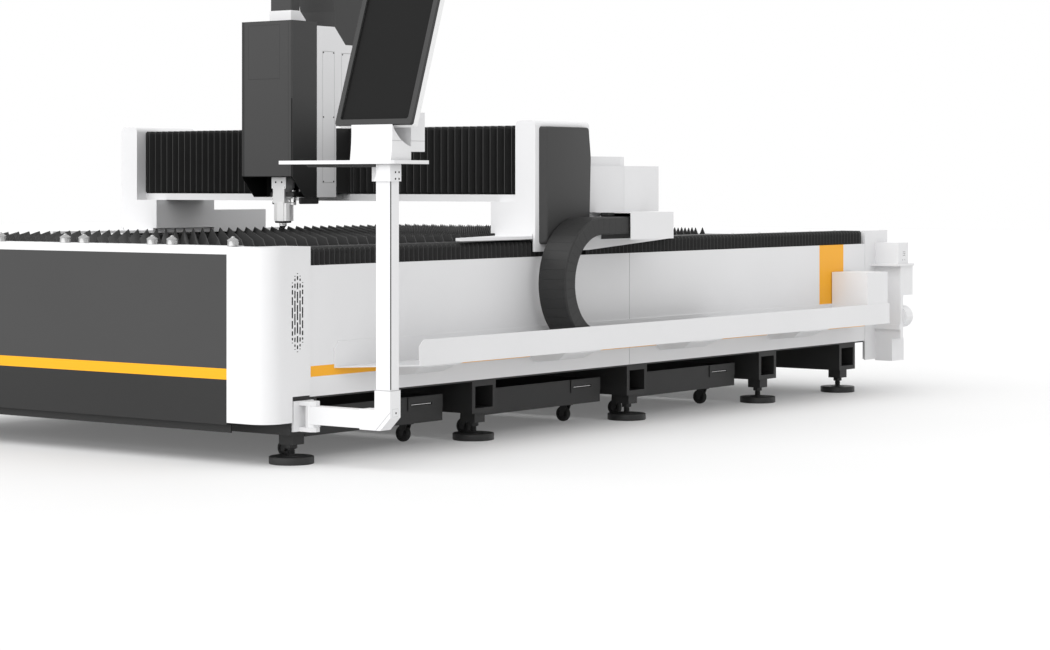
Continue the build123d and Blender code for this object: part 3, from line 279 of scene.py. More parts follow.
# seam on the stand's outer side, and two access covers on the gantry's rear
standMarks = scored(110, 0.35, lambda x, y, z: between(z, 1188, 1189.6) * (x > 1640))
girderMarks = scored(90, 0.4, lambda x, y, z: frameLine(abs(x), z, (90, 980, 992, 1246), 1.3) * (y > 1719))

whitePaint = sprayed("whitePaint", whiteLook)
darkLook = {"cloud": 1.7, "peel": 520.0, "relief": 0.12, "rough": 0.5, "gloss": 0.22, "tones": (60, 66)}
frontStripe = {"up": (316, 356), "face": -190}


def panelMarks(finish, base, height):
    # yellow stripe, and the darker kick plate under it
    x, y, z = finish.drawing()
    lower = finish.mix(z < frontStripe["up"][0], base, shade(41))
    return finish.mix(between(z, *frontStripe["up"]) * (y < frontStripe["face"]), lower, yellow["front"]), height


headCover = {"face": 1096, "panel": (-102, 79, 1484, 1716), "line": 1.4, "edges": (127, 129.5), "left": -128,
             "footTop": 1420, "footLength": 420, "footSide": 147.4, "inside": (146.6, 1091.6, 1400)}


def coverMarks(finish, base, height):
    # faint recessed panel and edge lines on the head cover, a darker band along its left edge, painted shade on its
    # sides growing towards the foot, and painted shade inside the cover
    x, y, z = finish.drawing()
    face = y < headCover["face"]
    panel = frameLine(x, z, headCover["panel"], headCover["line"])
    lines = (panel * 0.35 | between(abs(x), *headCover["edges"]) * 0.5) * face
    # the panel lines, and a darker band along the left edge of the face
    markedFace = finish.mix(lines | (x < headCover["left"]) * face * 0.8, base, shade(38))
    # painted shade: the sides darken towards the foot
    top, length = headCover["footTop"], headCover["footLength"]
    foot = between((top - z) / length, 0, 2) * (top - z) / length * (abs(x) > headCover["footSide"])
    # painted shade on the inside faces of the cover
    half, front, below = headCover["inside"]
    inside = (abs(x) < half) * (y > front) * (z < below)
    return finish.mix(inside, finish.mix(foot * 0.8, markedFace, shade(20)), shade(12)), height - lines


darkPaint = sprayed("darkPaint", darkLook)
blackPaint = sprayed("blackPaint", {
    "cloud": 3.0, "peel": 480.0, "relief": 0.16, "rough": 0.48, "gloss": 0.3, "tones": (34, 42)})
slatSteel = metal(
    "slatSteel", lines=60.0, stretch=(1.0, 1.0, 9.0), stain=9.0, relief=0.0002,
    rough=0.55, metallic=0.25, tones=(32, 45))
cutEdge = metal(
    "cutEdge", lines=120.0, stretch=(1.0, 9.0, 1.0), stain=12.0, relief=0.0002,
    rough=0.5, metallic=0.3, tones=(60, 82))
brightSteel = metal(
    "brightSteel", lines=300.0, stretch=(1.0, 1.0, 8.0), stain=14.0, relief=0.00008,
    rough=0.24, metallic=1.0, tones=(205, 226))
chrome = metal(
    "chrome", lines=200.0, stretch=(1.0, 1.0, 6.0), stain=20.0, relief=0.00003,
    rough=0.26, metallic=0.9, tones=(160, 186))
alloy = metal(
    "alloy", lines=240.0, stretch=(6.0, 6.0, 1.0), stain=11.0, relief=0.00006,
    rough=0.34, metallic=0.6, tones=(210, 222))
chainPlastic = moulded("chainPlastic", grain=520.0, cloud=5.0, relief=0.0003, rough=0.5, gloss=0.3, tones=(36, 44))
whitePlastic = moulded("whitePlastic", grain=640.0, cloud=3.0, relief=0.0002, rough=0.5, gloss=0.35, tones=(222, 230))
blackPlastic = moulded("blackPlastic", grain=600.0, cloud=4.0, relief=0.0003, rough=0.52, gloss=0.25, tones=(50, 57))
wheelRubber = moulded("wheelRubber", grain=380.0, cloud=9.0, relief=0.0004, rough=0.68, gloss=0.25, tones=(36, 46))
slotShadow = moulded("slotShadow", grain=300.0, cloud=9.0, relief=0.0001, rough=0.8, gloss=0.1, tones=(22, 28))


def coatedCloth(name, tones):
    # coated bellows fabric: a fine plain weave under the coating
    finish = Finish(name)
    warp = finish.node("ShaderNodeTexWave", {"bands_direction": "X"}, {"Vector": finish.place, "Scale": 180.0})
    weft = finish.node("ShaderNodeTexWave", {"bands_direction": "Z"}, {"Vector": finish.place, "Scale": 180.0})
    rub = finish.noise(7.0, 4.0)
    finish.set(Base_Color=finish.toned(rub, tones), Roughness=0.62 + (rub - 0.5) * 0.2)
    finish.set(Normal=finish.bump(warp * weft, 0.00025), Specular_IOR_Level=0.3)
    return finish.material


def screenGlass(name):
    # switched-off panel: dark glass with the slightest smear
    finish = Finish(name)
    smear = finish.noise(6.0, 5.0, finish.stretched((1.0, 1.0, 0.35)))
    finish.set(Base_Color=finish.toned(smear, (24, 28)), Roughness=0.42 + smear * 0.14)
    finish.set(Specular_IOR_Level=0.06)
    return finish.material


bellowsCloth = coatedCloth("bellowsCloth", (15, 24))
# cloth for the ridge faces: rubbed wear, and a painted highlight
rubbedSheenCloth = coatedCloth("rubbedSheenCloth", (58, 76))

nodeFinish = {
    whitePaint: "front_top_rail cable_trough junction_boxes rear_rack end_boxes saddles arm_bracket tray_gusset",
    sprayed("rearSheetPaint", whiteLook, rearMarks): "end_beams rear_deck",
    sprayed("girderPaint", whiteLook, girderMarks): "gantry_girder",
    sprayed("cornerPostPaint", whiteLook, postMarks): "corner_posts",
    sprayed("chainHoodPaint", whiteLook, hoodMarks): "chain_end_box",
    sprayed("armPaint", whiteLook, armMarks): "swing_arm",
    sprayed("cableBoxPaint", whiteLook, cableBoxMarks): "cable_box",
    sprayed("standPaint", whiteLook, standMarks): "monitor_stand",
    sprayed("sideCoverPaint", whiteLook, sideMarks): "side_covers",
    sprayed("carriagePaint", whiteLook, carriageMarks): "carriage_body",
    sprayed("trayPaint", whiteLook, trayMarks): "keyboard_tray",
    sprayed("frontPanelPaint", darkLook, panelMarks): "front_panel",
    sprayed("headCoverPaint", darkLook, coverMarks): "head_cover",
    darkPaint: "end_covers cable_guide lift_motor",
    blackPaint: "cross_tubes side_beams side_decks scrap_chutes carriage_plate levelling_feet "
                "scrap_cart_1 scrap_cart_2 scrap_cart_3",
    slatSteel: "slats slat_rests",
    brightSteel: "ball_studs bed_rails bed_racks cross_rails cross_rack lift_rails bearing_blocks nozzle",
    alloy: "laser_head head_slide",
    bellowsCloth: "front_bellows rear_bellows cross_bellows",
    chainPlastic: "chain_lower_run chain_bend chain_upper_run",
    whitePlastic: "monitor_shell",
    blackPlastic: "monitor_bezel",
    screenGlass("screenGlass"): "monitor_screen",
    wheelRubber: " ".join(f"cart_{cart}_{end}_wheels" for cart in (1, 2, 3) for end in ("front", "rear")),
}
dressed = set()
for finish, names in nodeFinish.items():
    for name in names.split():
        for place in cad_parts[name].material_slots:
            place.material = finish
        dressed.add(name)
print("finishes on", len(dressed), "nodes, left over:", sorted(set(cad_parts) - dressed))

# mesh helpers

seamWeld = 0.00002  # metres


def mesh(name, points, faces):
    new = bpy.data.meshes.new(name)
    new.from_pydata([Vector(p) / 1000 for p in points], [], faces)
    return new


def show(thing):
    scene.collection.objects.link(thing)
    return thing


def piece(name, data, finishes, start=None):
    if start:
        for vertex in data.vertices:
            vertex.co += at(*start)
    for finish in finishes:
        data.materials.append(finish)
    return show(bpy.data.objects.new(name, data))


def placed(name, form, finish, start=(0, 0, 0)):
    # a form in millimetres, set on the drawing
    return piece(name, mesh(name, *form), [finish], start)


def mount(part, body, node=None):
    # the body it rides on, and the CAD node it stands for, which it hides
    if node:
        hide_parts(node)
    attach(part, body)


def soften(part, degrees):
    # smooth shading with a crease where faces meet at more than this
    part.data.polygons.foreach_set("use_smooth", [True] * len(part.data.polygons))
    part.data.set_sharp_from_angle(angle=math.radians(degrees))


def joined(name, parts, weld=0.0):
    # several plain meshes as one, shared edges welded and faces turned outwards
    whole = bmesh.new()
    finishes = []
    for part in parts:
        first = len(whole.faces)
        whole.from_mesh(part.data)
        whole.faces.ensure_lookup_table()
        for finish in part.data.materials:
            if finish not in finishes:
                finishes.append(finish)
        order = [finishes.index(finish) for finish in part.data.materials]
        for face in whole.faces[first:]:
            face.material_index = order[face.material_index]
        bpy.data.objects.remove(part)
    if weld:
        bmesh.ops.remove_doubles(whole, verts=whole.verts, dist=weld)
    bmesh.ops.recalc_face_normals(whole, faces=whole.faces)
    data = bpy.data.meshes.new(name)
    whole.to_mesh(data)
    whole.free()
    return piece(name, data, finishes)


def turned(profile, sides, axis="z"):
    # a lathe form from (radius, height) pairs, closed where the radius is nought
    points, rings, faces = [], [], []
    for radius, height in profile:
        ring = 1 if radius == 0 else sides
        rings.append([len(points) + i for i in range(ring)])
        for i in range(ring):
            turn = 2 * math.pi * i / sides
            across, along = radius * math.cos(turn), radius * math.sin(turn)
            places = {"z": (across, along, height), "y": (along, height, across), "x": (height, across, along)}
            points.append(places[axis])
    for low, high in zip(rings, rings[1:]):
        for i in range(sides):
            j = (i + 1) % sides
            if len(low) == 1:
                faces.append((low[0], high[j], high[i]))
            elif len(high) == 1:
                faces.append((low[i], low[j], high[0]))
            else:
                faces.append((low[i], low[j], high[j], high[i]))
    return points, faces


def tube(sections, closed=False):
    # skin over a row of equal outlines; closed is True, or the one end that gets a face: first or last
    count = len(sections[0])
    points = [p for section in sections for p in section]
    faces = []
    for row in range(len(sections) - 1):
        for i in range(count):
            j = (i + 1) % count
            faces.append((row * count + i, row * count + j, (row + 1) * count + j, (row + 1) * count + i))
    if closed in (True, "first"):
        faces.append(tuple(range(count))[::-1])
    if closed in (True, "last"):
        faces.append(tuple(range(len(points) - count, len(points))))
    return points, faces


def bar(low, high, edge):
    # a bevelled block between two corners
    (x0, y0, z0), (x1, y1, z1) = low, high

    def ring(z, inset):
        a, b, c, d = x0 + inset, x1 - inset, y0 + inset, y1 - inset
        return [(a + edge, c, z), (b - edge, c, z), (b, c + edge, z), (b, d - edge, z),
                (b - edge, d, z), (a + edge, d, z), (a, d - edge, z), (a, c + edge, z)]

    return tube([ring(z0, edge), ring(z0 + edge, 0), ring(z1 - edge, 0), ring(z1, edge)], True)


def rowTree():
    # copies of a cell in a straight row, or turned about the cell's own x axis
    tree = bpy.data.node_groups.new("rowOfCells", "GeometryNodeTree")
    sockets = {}
    for name, kind in (("Cell", "Geometry"), ("Count", "Int"), ("Step", "Vector"), ("Turn", "Vector"),
                       ("Start", "Vector"), ("Weld", "Float"), ("Finish", "Material")):
        sockets[name] = tree.interface.new_socket(name=name, in_out="INPUT", socket_type="NodeSocket" + kind)
    tree.interface.new_socket(name="Row", in_out="OUTPUT", socket_type="NodeSocketGeometry")

    def node(kind, settings, inputs):
        new = tree.nodes.new(kind)
        for key, value in settings.items():
            setattr(new, key, value)
        for key, value in inputs.items():
            tree.links.new(value, new.inputs[key])
        return new

    given = node("NodeGroupInput", {}, {}).outputs
    index = node("GeometryNodeInputIndex", {}, {})
    line = node("GeometryNodeMeshLine", {"mode": "OFFSET"}, {"Count": given["Count"], "Offset": given["Step"]})
    turn = node("ShaderNodeVectorMath", {"operation": "SCALE"}, {0: given["Turn"], "Scale": index.outputs[0]})
    copies = node("GeometryNodeInstanceOnPoints", {}, {"Points": line.outputs[0], "Instance": given["Cell"],
                                                       "Rotation": turn.outputs[0]})
    moved = node("GeometryNodeTransform", {}, {"Geometry": copies.outputs[0], "Translation": given["Start"]})
    real = node("GeometryNodeRealizeInstances", {}, {"Geometry": moved.outputs[0]})
    welded = node("GeometryNodeMergeByDistance", {}, {"Geometry": real.outputs[0], "Distance": given["Weld"]})
    painted = node("GeometryNodeSetMaterial", {}, {"Geometry": welded.outputs[0], "Material": given["Finish"]})
    node("NodeGroupOutput", {}, {0: painted.outputs[0]})
    return tree, {name: socket.identifier for name, socket in sockets.items()}


rowNodes, rowSocket = rowTree()


def row(name, cell, count, step, start, finish, turn=(0, 0, 0), weld=0.01):
    # one evaluated row as a plain mesh; the step, start and weld are in millimetres
    source = show(bpy.data.objects.new(name + "Cell", mesh(name + "Cell", *cell)))
    maker = source.modifiers.new("row", "NODES")
    maker.node_group = rowNodes
    values = {"Count": count, "Step": tuple(Vector(step) / 1000), "Turn": turn, "Start": tuple(at(*start)),
              "Weld": weld / 1000, "Finish": finish}
    for key, value in values.items():
        maker[rowSocket[key]] = value
    source.update_tag()
    seen = bpy.context.evaluated_depsgraph_get()
    data = bpy.data.meshes.new_from_object(source.evaluated_get(seen), depsgraph=seen)
    bpy.data.objects.remove(source)
    data.materials.clear()
    return piece(name, data, [finish])


def asDrawn(cell):
    return cell


def flipped(cell):
    # the same cell on the other side of the bed
    points, faces = cell
    return [(-x, y, z) for x, y, z in points], [face[::-1] for face in faces]


print("helpers ready")

# slat bed: blades with leaf-shaped teeth

slatBed = {"blades": 55, "first": -100, "last": 3140, "half": 940, "bottom": 730, "valley": 766, "tip": 826,
           "teeth": 32, "thick": 5, "leaf": (0, 0.3, 0.63, 1, 0.63, 0.3)}


def blade(bed):
    pitch = 2 * bed["half"] / bed["teeth"]
    rise = bed["tip"] - bed["valley"]
    top = []
    for tooth in range(bed["teeth"]):
        for step, share in enumerate(bed["leaf"]):
            top.append((-bed["half"] + pitch * (tooth + step / len(bed["leaf"])), bed["valley"] + rise * share))
    top.append((bed["half"], bed["valley"]))
    sections = [[(x, 0, bed["bottom"]), (x, bed["thick"], bed["bottom"]), (x, bed["thick"], z), (x, 0, z)]
                for x, z in top]
    return tube(sections, True)


pitch = (slatBed["last"] - slatBed["first"] - slatBed["thick"]) / (slatBed["blades"] - 1)
slats = row("slatBlades", blade(slatBed), slatBed["blades"], (0, pitch, 0), (0, slatBed["first"], 0), slatSteel)
slats = joined("slatBlades", [slats])
slats.data.materials.append(cutEdge)
for face in slats.data.polygons:
    if face.normal.z > 0.1:  # the upward cut edges of the teeth are paler: bare cut steel, and a painted highlight on the faces that look up
        face.material_index = 1
mount(slats, "bed", "slats")
print("slats", len(slats.data.polygons))

# bellows over the bed rails

railBellows = {"inner": 1066, "outer": 1190, "bottom": 732.3, "top": 797, "corner": 9, "pitch": 29,
               "insets": {"valley": 10, "ridge": 0.6, "frame": 0}, "frame": 4, "lip": 1.5,
               "front": (38, 1506), "rear": (1794, 4164)}
foldRidge = {"from": 0.47, "to": 0.53, "least": 0.0008, "most": 0.0037}  # shares of a fold, and widths in metres


def rubAndSheenRidges(bellows, axis):
    # the narrow faces along the ridges are lighter: rubbed wear, and a painted highlight along each ridge
    data = bellows.data
    data.materials.append(rubbedSheenCloth)
    for face in data.polygons:
        along = [data.vertices[i].co[axis] for i in face.vertices]
        if foldRidge["least"] < max(along) - min(along) < foldRidge["most"]:
            face.material_index = 1


def railFold(bellows, kind, y):
    inset = bellows["insets"][kind]
    inner, outer, top = bellows["inner"] + inset, bellows["outer"] - inset, bellows["top"] - inset
    corner = bellows["corner"]
    return [(inner, y, bellows["bottom"]), (inner, y, top - corner), (inner + corner, y, top),
            (outer - corner, y, top), (outer, y, top - corner), (outer, y, bellows["bottom"])]


def foldedRun(name, bellows, outline, ends, count, sides):
    # end frames with a row of folds between them; sides holds each side's turn and the way it runs
    first, last = ends
    near, far, lip = first + bellows["frame"], last - bellows["frame"], bellows["lip"]
    step = (far - near) / count

    def form(*rings):
        return [outline(bellows, kind, place) for kind, place in rings]

    cell = tube(form(("valley", 0), ("ridge", step * foldRidge["from"]), ("ridge", step * foldRidge["to"]),
                     ("valley", step)))
    low = tube(form(("frame", first), ("frame", near - lip), ("valley", near)), "first")
    high = tube(form(("valley", far), ("frame", far + lip), ("frame", last)), "last")
    parts = []
    for turn, way in sides:
        move, start = [tuple(share * length for share in way) for length in (step, near)]
        parts.append(row(name, turn(cell), count, move, start, bellowsCloth))
        parts += [placed(name, turn(end), bellowsCloth) for end in (low, high)]
    return joined(name, parts, seamWeld)


for name, ends, node in (("railBellowsFront", railBellows["front"], "front_bellows"),
                         ("railBellowsRear", railBellows["rear"], "rear_bellows")):
    count = round((ends[1] - ends[0] - 2 * railBellows["frame"]) / railBellows["pitch"])
    bellows = foldedRun(name, railBellows, railFold, ends, count, [(turn, (0, 1, 0)) for turn in (asDrawn, flipped)])
    rubAndSheenRidges(bellows, 1)
    still, moving = (ends[0], ends[1]) if node == "front_bellows" else (ends[1], ends[0])
    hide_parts(node)
    at(0, still, 760)
    at(0, moving, 760)
    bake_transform(bellows)
    print(name, len(bellows.data.polygons))

# bellows along the gantry, both sides of the carriage

crossBellows = {"near": 150.3, "far": 1105.7, "front": 1463, "valley": 1490, "back": 1539.6, "bottom": 988.3,
                "top": 1277, "folds": 25, "dip": 5, "corner": 9, "frame": 6, "lip": 1.5,
                "shares": {"valley": 0, "ridge": 1, "frame": 1}}


def crossFold(bellows, kind, x):
    share = bellows["shares"][kind]
    front = bellows["valley"] + (bellows["front"] - bellows["valley"]) * share
    dip = bellows["dip"] * (1 - share)
    bottom, top, corner = bellows["bottom"] + dip, bellows["top"] - dip, bellows["corner"]
    return [(x, bellows["back"], bottom), (x, front + corner, bottom), (x, front, bottom + corner),
            (x, front, top - corner), (x, front + corner, top), (x, bellows["back"], top)]


ends = crossBellows["near"], crossBellows["far"]
for name, side, turn in (("crossBellowsRight", 1, asDrawn), ("crossBellowsLeft", -1, flipped)):
    bellows = foldedRun(name, crossBellows, crossFold, ends, crossBellows["folds"], [(turn, (side, 0, 0))])
    rubAndSheenRidges(bellows, 0)
    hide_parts("cross_bellows")
    at(side * crossBellows["far"], 1480, 1130)
    at(side * crossBellows["near"], 1480, 1130)
    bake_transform(bellows)
    print(name, len(bellows.data.polygons))

# cable chain: links in the lower run, round the bend and back in the upper run

chain = {"inner": 1241, "outer": 1381, "height": 73, "radius": 272, "axis": (1652, 622.3), "lowerEnd": 2690,
         "upperEnd": 2162, "pitch": 40, "corner": 5, "groove": 0.5, "steps": 5, "lengths": 4, "slip": 0.02,
         "bendShare": 0.5}


def linkOutline(chain, inset, low, high):
    # outline across the chain as (x, distance from the bend's middle)
    a, b, c = chain["inner"] + inset, chain["outer"] - inset, chain["corner"]
    low, high = low + inset, high - inset
    return [(a + c, low), (b - c, low), (b, low + c), (b, high - c), (b - c, high), (a + c, high), (a, high - c),
            (a, low + c)]


def travelShare(share):
    # where on a blend's smooth ramp a piece takes this share of the gantry's travel
    return 0.5 - math.sin(math.asin(1 - 2 * share) / 3)


def linkEnd(name, outline):
    # flat face that closes the end of a run
    return placed(name, (outline, [tuple(range(len(outline)))]), chainPlastic)


def straightRun(name, node, chain, bottom, last, endShare):
    # the run in a few lengths, so that its links close up evenly between the bend and its far end
    first, count, groove = chain["axis"][0], chain["lengths"], chain["groove"]
    links = round((last - first) / chain["pitch"] / count)
    step = (last - first) / (links * count)
    sections = []
    for along, inset in ((0, groove), (groove, 0), (step - groove, 0), (step, groove)):
        sections.append([(x, along, z) for x, z in linkOutline(chain, inset, bottom, bottom + chain["height"])])
    for i in range(count):
        ends = [first + step * links * i, first + step * links * (i + 1)]
        parts = [row(name, tube(sections), links, (0, step, 0), (0, ends[0], 0), chainPlastic)]
        outline = linkOutline(chain, groove, bottom, bottom + chain["height"])
        parts += [linkEnd(name, [(x, y, z) for x, z in outline]) for y in ends]
        length = joined(f"{name}{i + 1}", parts, seamWeld)
        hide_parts(node)
        middle = chain["bendShare"]
        near, far = [travelShare(middle + (endShare - middle) * (i + end) / count) for end in (0, 1)]
        ramp = (ends[1] - ends[0]) / (far - near)
        at(0, ends[0] - near * ramp, bottom)
        at(0, ends[0] + (1 - near) * ramp, bottom)
        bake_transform(length)
    print(name, count, "lengths of", links, "links")


def bendRun(name, chain):
    outer = chain["radius"]
    count = round(math.pi * outer / chain["pitch"])
    angle = math.pi / count
    groove = chain["groove"] / outer
    sections = []
    turns = [(angle * step / chain["steps"], 0) for step in range(1, chain["steps"])]
    for turn, inset in [(0, chain["groove"]), (groove, 0)] + turns + [(angle - groove, 0), (angle, chain["groove"])]:
        outline = linkOutline(chain, inset, outer - chain["height"], outer)
        sections.append([(x, -r * math.sin(turn), -r * math.cos(turn)) for x, r in outline])
    run = row(name, tube(sections), count, (0, 0, 0), (0, *chain["axis"]), chainPlastic, (-angle, 0, 0))
    outline = linkOutline(chain, chain["groove"], outer - chain["height"], outer)
    y, z = chain["axis"]
    ends = [linkEnd(name, [(x, y, z + side * r) for x, r in outline]) for side in (-1, 1)]
    return joined(name, [run] + ends, seamWeld)


bottom = chain["axis"][1] - chain["radius"]
straightRun("chainLower", "chain_lower_run", chain, bottom, chain["lowerEnd"], chain["slip"])
top = chain["axis"][1] + chain["radius"] - chain["height"]
straightRun("chainUpper", "chain_upper_run", chain, top, chain["upperEnd"], 1 - chain["slip"])
bend = bendRun("chainBend", chain)
soften(bend, 30)
mount(bend, "chain_loop", "chain_bend")
print("chain bend", len(bend.data.polygons))

# ball studs along the front rail

ballStuds = {"y": -160, "bottom": 805, "first": 985, "pairs": 4, "pairMiddle": 620, "pairStep": -475, "spread": 52,
             "profile": ((0, 0), (21, 0), (21.4, 1), (20.8, 2), (20.8, 18.5), (21.4, 19), (22, 20), (22, 21.6),
                         (20.6, 22.6), (9.5, 29.5), (8.6, 30), (8.6, 31), (7.6, 31.4), (6.6, 32.8), (5.2, 34.6),
                         (3, 35.7), (0, 36))}
cell = turned(ballStuds["profile"], 28)
parts = [row("ballStuds", cell, 1, (1, 0, 0), (ballStuds["first"], ballStuds["y"], ballStuds["bottom"]), chrome)]
for side in (-1, 1):
    start = (ballStuds["pairMiddle"] + side * ballStuds["spread"], ballStuds["y"], ballStuds["bottom"])
    parts.append(row("ballStuds", cell, ballStuds["pairs"], (ballStuds["pairStep"], 0, 0), start, chrome))
studs = joined("ballStuds", parts)
soften(studs, 32)
mount(studs, "bed", "ball_studs")
print("studs", len(studs.data.polygons))

# levelling feet: pad, threaded stem and lock nut

feet = {"x": 1129, "rows": 4, "pitch": 1093, "last": 4034, "pad": 84, "padHeight": 28, "stem": 13, "top": 112,
        "thread": 3.0, "threadDepth": 1.3, "nut": 23, "nutLow": 55, "nutHigh": 71}


def footCell(feet):
    pad, padTop, stem, thread = feet["pad"], feet["padHeight"], feet["stem"], feet["thread"]
    low, high, top, wide = feet["nutLow"], feet["nutHigh"], feet["top"], feet["nut"]
    profile = [(0, 0), (pad - 2, 0), (pad, 2), (pad, padTop - 3), (pad - 1, padTop - 1), (pad - 3, padTop),
               (pad * 0.42, padTop), (pad * 0.4, padTop + 2), (stem + 6, padTop + 4), (stem, padTop + 5)]

    def threaded(z, end):
        while z < end - thread:
            profile.extend([(stem, z), (stem - feet["threadDepth"], z + thread / 2)])
            z += thread

    threaded(padTop + 6, low)
    profile.extend([(stem - 1, low), (stem - 1, high)])
    threaded(high + 1, top)
    profile.extend([(stem, top - 1), (stem, top), (0, top)])
    points, faces = turned(profile, 28)
    more, skin = turned([(0, low), (wide - 3, low), (wide, low + 2), (wide, high - 2), (wide - 3, high), (0, high)], 6)
    faces += [tuple(i + len(points) for i in face) for face in skin]
    return points + more, faces


cell = footCell(feet)
parts = []
for side in (-1, 1):
    parts.append(row("levellingFeet", cell, feet["rows"], (0, feet["pitch"], 0), (side * feet["x"], 0, 0), blackPaint))
    parts.append(row("levellingFeet", cell, 1, (0, 1, 0), (side * feet["x"], feet["last"], 0), blackPaint))
levelling = joined("levellingFeet", parts)
soften(levelling, 30)
mount(levelling, "bed", "levelling_feet")
print("feet", len(levelling.data.polygons))

# cart wheels: rubber tread on a hub with a bolt head; both wheels of an axle stand at one x

wheel = {"radius": 33, "right": 956, "left": -740, "rows": (0, 1093, 2186), "sides": (158, 858),
         "half": ((0, -12), (4, -12), (5, -11), (5, -9.5), (12, -9), (13, -7.5), (20, -7.5), (21, -11), (23, -12),
                  (28.5, -12), (32, -9), (33, -4))}
profile = [*wheel["half"], *((radius, -height) for radius, height in reversed(wheel["half"]))]
cell = turned(profile, 32, axis="y")
for cart, rowStart in enumerate(wheel["rows"], 1):
    for end, x in (("front", wheel["right"]), ("rear", wheel["left"])):
        parts = []
        for offset in wheel["sides"]:
            parts.append(placed("cartWheel", cell, wheelRubber, (x, rowStart + offset, wheel["radius"])))
        wheels = joined(f"cart{cart}{end.capitalize()}Wheels", parts)
        soften(wheels, 34)
        mount(wheels, f"cart_{cart}_{end}_axle", f"cart_{cart}_{end}_wheels")
print("wheels done")

# nozzle: black clamp ring, knurled nut and tip

nozzle = {"y": 1198, "ring": ((0, 863), (30, 863), (34, 863.8), (36, 866), (36, 869.5), (34.5, 872), (0, 872)),
          "tip": ((0, 834), (2, 834), (6, 835), (7, 840), (11, 846), (13, 848), (15, 850), (17, 851.2), (17, 856),
                  (15.6, 856.8), (15.6, 858.4), (17, 859.2), (17, 862.4), (16, 863), (0, 863))}
ring = placed("nozzleRing", turned(nozzle["ring"], 40), blackPlastic, (0, nozzle["y"], 0))
tip = placed("nozzleTip", turned(nozzle["tip"], 40), brightSteel, (0, nozzle["y"], 0))
tip = joined("nozzle", [tip, ring])
soften(tip, 30)
mount(tip, "head", "nozzle")
print("nozzle done")

# fittings on the cutting head: window drawer and knob on the right, gas fitting on the left

headFittings = {"y": 1198, "front": 1170, "knob": (60, 13, 952, 977), "cap": (60, 7.5, 998, 1007),
                "pin": (37, 6, 953, 977), "foot": (60, 12.5, 941, 951.5), "knurlPlace": (60, 962),
                "knurl": ((0, 0), (11.5, 0), (13.6, 1), (13.6, 5), (11.5, 6), (0, 6)),
                "drawer": ((33, 1178, 977.5), (80, 1218, 998), 2), "valve": ((-54, 1176, 979), (-33.5, 1198, 996), 1.6),
                "hook": ((0, 944), (4, 945), (6, 949), (6, 953), (3.4, 957), (3, 966), (5, 969), (5, 979), (0, 979)),
                "hookPlace": (-45, 1186), "holeSides": (-17.5, 17.5), "holeHeight": 1040,
                "hole": ((0, -0.5), (4.4, -0.5), (4.4, 0.3), (3.2, 0.3), (0, 0.2))}


def stub(radius, low, high, edge, axis="z"):
    # a short turned pin with broken edges
    return turned([(0, low), (radius - edge, low), (radius, low + edge), (radius, high - edge), (radius - edge, high),
                   (0, high)], 24, axis=axis)


def uprightPin(name, key, edge, finish):
    x, radius, low, high = headFittings[key]
    return placed(name, stub(radius, low, high, edge), finish, (x, headFittings["y"], 0))


parts = [uprightPin(key, key, edge, brightSteel) for key, edge in (("knob", 2.0), ("cap", 3.0), ("pin", 1.2))]
x, z = headFittings["knurlPlace"]
parts.append(placed("knurl", turned(headFittings["knurl"], 18), brightSteel, (x, headFittings["y"], z)))
parts.append(placed("drawer", bar(*headFittings["drawer"]), blackPlastic))
parts.append(uprightPin("drawerFoot", "foot", 1.0, alloy))
parts.append(placed("valve", bar(*headFittings["valve"]), blackPlastic))
parts.append(placed("hook", turned(headFittings["hook"], 20), brightSteel, (*headFittings["hookPlace"], 0)))
for x in headFittings["holeSides"]:
    start = (x, headFittings["front"], headFittings["holeHeight"])
    parts.append(placed("hole", turned(headFittings["hole"], 20, axis="y"), slotShadow, start))
fittings = joined("headFittings", parts)
soften(fittings, 32)
mount(fittings, "head")

# screws in rows on the head block and the carriage covers

screwProfile = ((0, -1.2), (3.2, -1.2), (3.6, -0.6), (3.6, 0.4), (1.9, 0.5), (1.5, -0.2), (0, -0.2))
headScrews = {"first": -33, "apart": 66, "height": 1018}
start = (headScrews["first"], headFittings["front"], headScrews["height"])
screws = row("headScrews", turned(screwProfile, 14, axis="y"), 2, (headScrews["apart"], 0, 0), start, brightSteel)
mount(joined("headScrews", [screws]), "head")
carriageScrews = {"side": 148, "columns": (1294, 1361), "heights": (1043, 1603), "rear": (1420, 1598), "rearApart": 120}
cell = turned([(radius, -height) for radius, height in screwProfile], 14, axis="x")
sideScrews = ((-1, flipped(cell)), (1, cell))
low, high = carriageScrews["heights"]
parts = []
for y in carriageScrews["columns"]:
    for side, cell in sideScrews:
        start = (side * carriageScrews["side"], y, low)
        parts.append(row("carriageScrews", cell, 3, (0, 0, (high - low) / 2), start, darkPaint))
for side, cell in sideScrews:
    start = (side * carriageScrews["side"], *carriageScrews["rear"])
    parts.append(row("carriageScrews", cell, 2, (0, carriageScrews["rearApart"], 0), start, darkPaint))
mount(joined("carriageScrews", parts), "carriage")
guard = {"low": (132, 1150, 946), "high": (146, 1268, 974.6), "edge": 3}
guardBlock = placed("noseGuard", bar(guard["low"], guard["high"], guard["edge"]), blackPaint)
mount(guardBlock, "carriage")
print("head and carriage details done")

# small slots that complete the vent in each corner post

vents = {"side": 1194, "y": -39, "z": 561, "pitch": 14, "half": 3.5, "depths": (-0.5, 0.25),
         "outer": ((75.5, 18), (96, 10), (110, 3)), "inner": ((67, 29), (99, 17), (120.5, 10), (134, 3)),
         "middle": ((98, 25), (127, 15), (143.6, 3))}
columns = ((-2, "outer"), (-1, "inner"), (0, "middle"), (1, "inner"), (2, "outer"))


def ventSlot(length, half):
    # outline of an upright slot with round ends
    rounding = min(half, length / 2)
    outline = []
    for degrees in range(0, 180, 30):
        turn = math.radians(degrees)
        outline.append((half * math.cos(turn), length / 2 - rounding + rounding * math.sin(turn)))
    return outline + [(-y, -z) for y, z in outline]


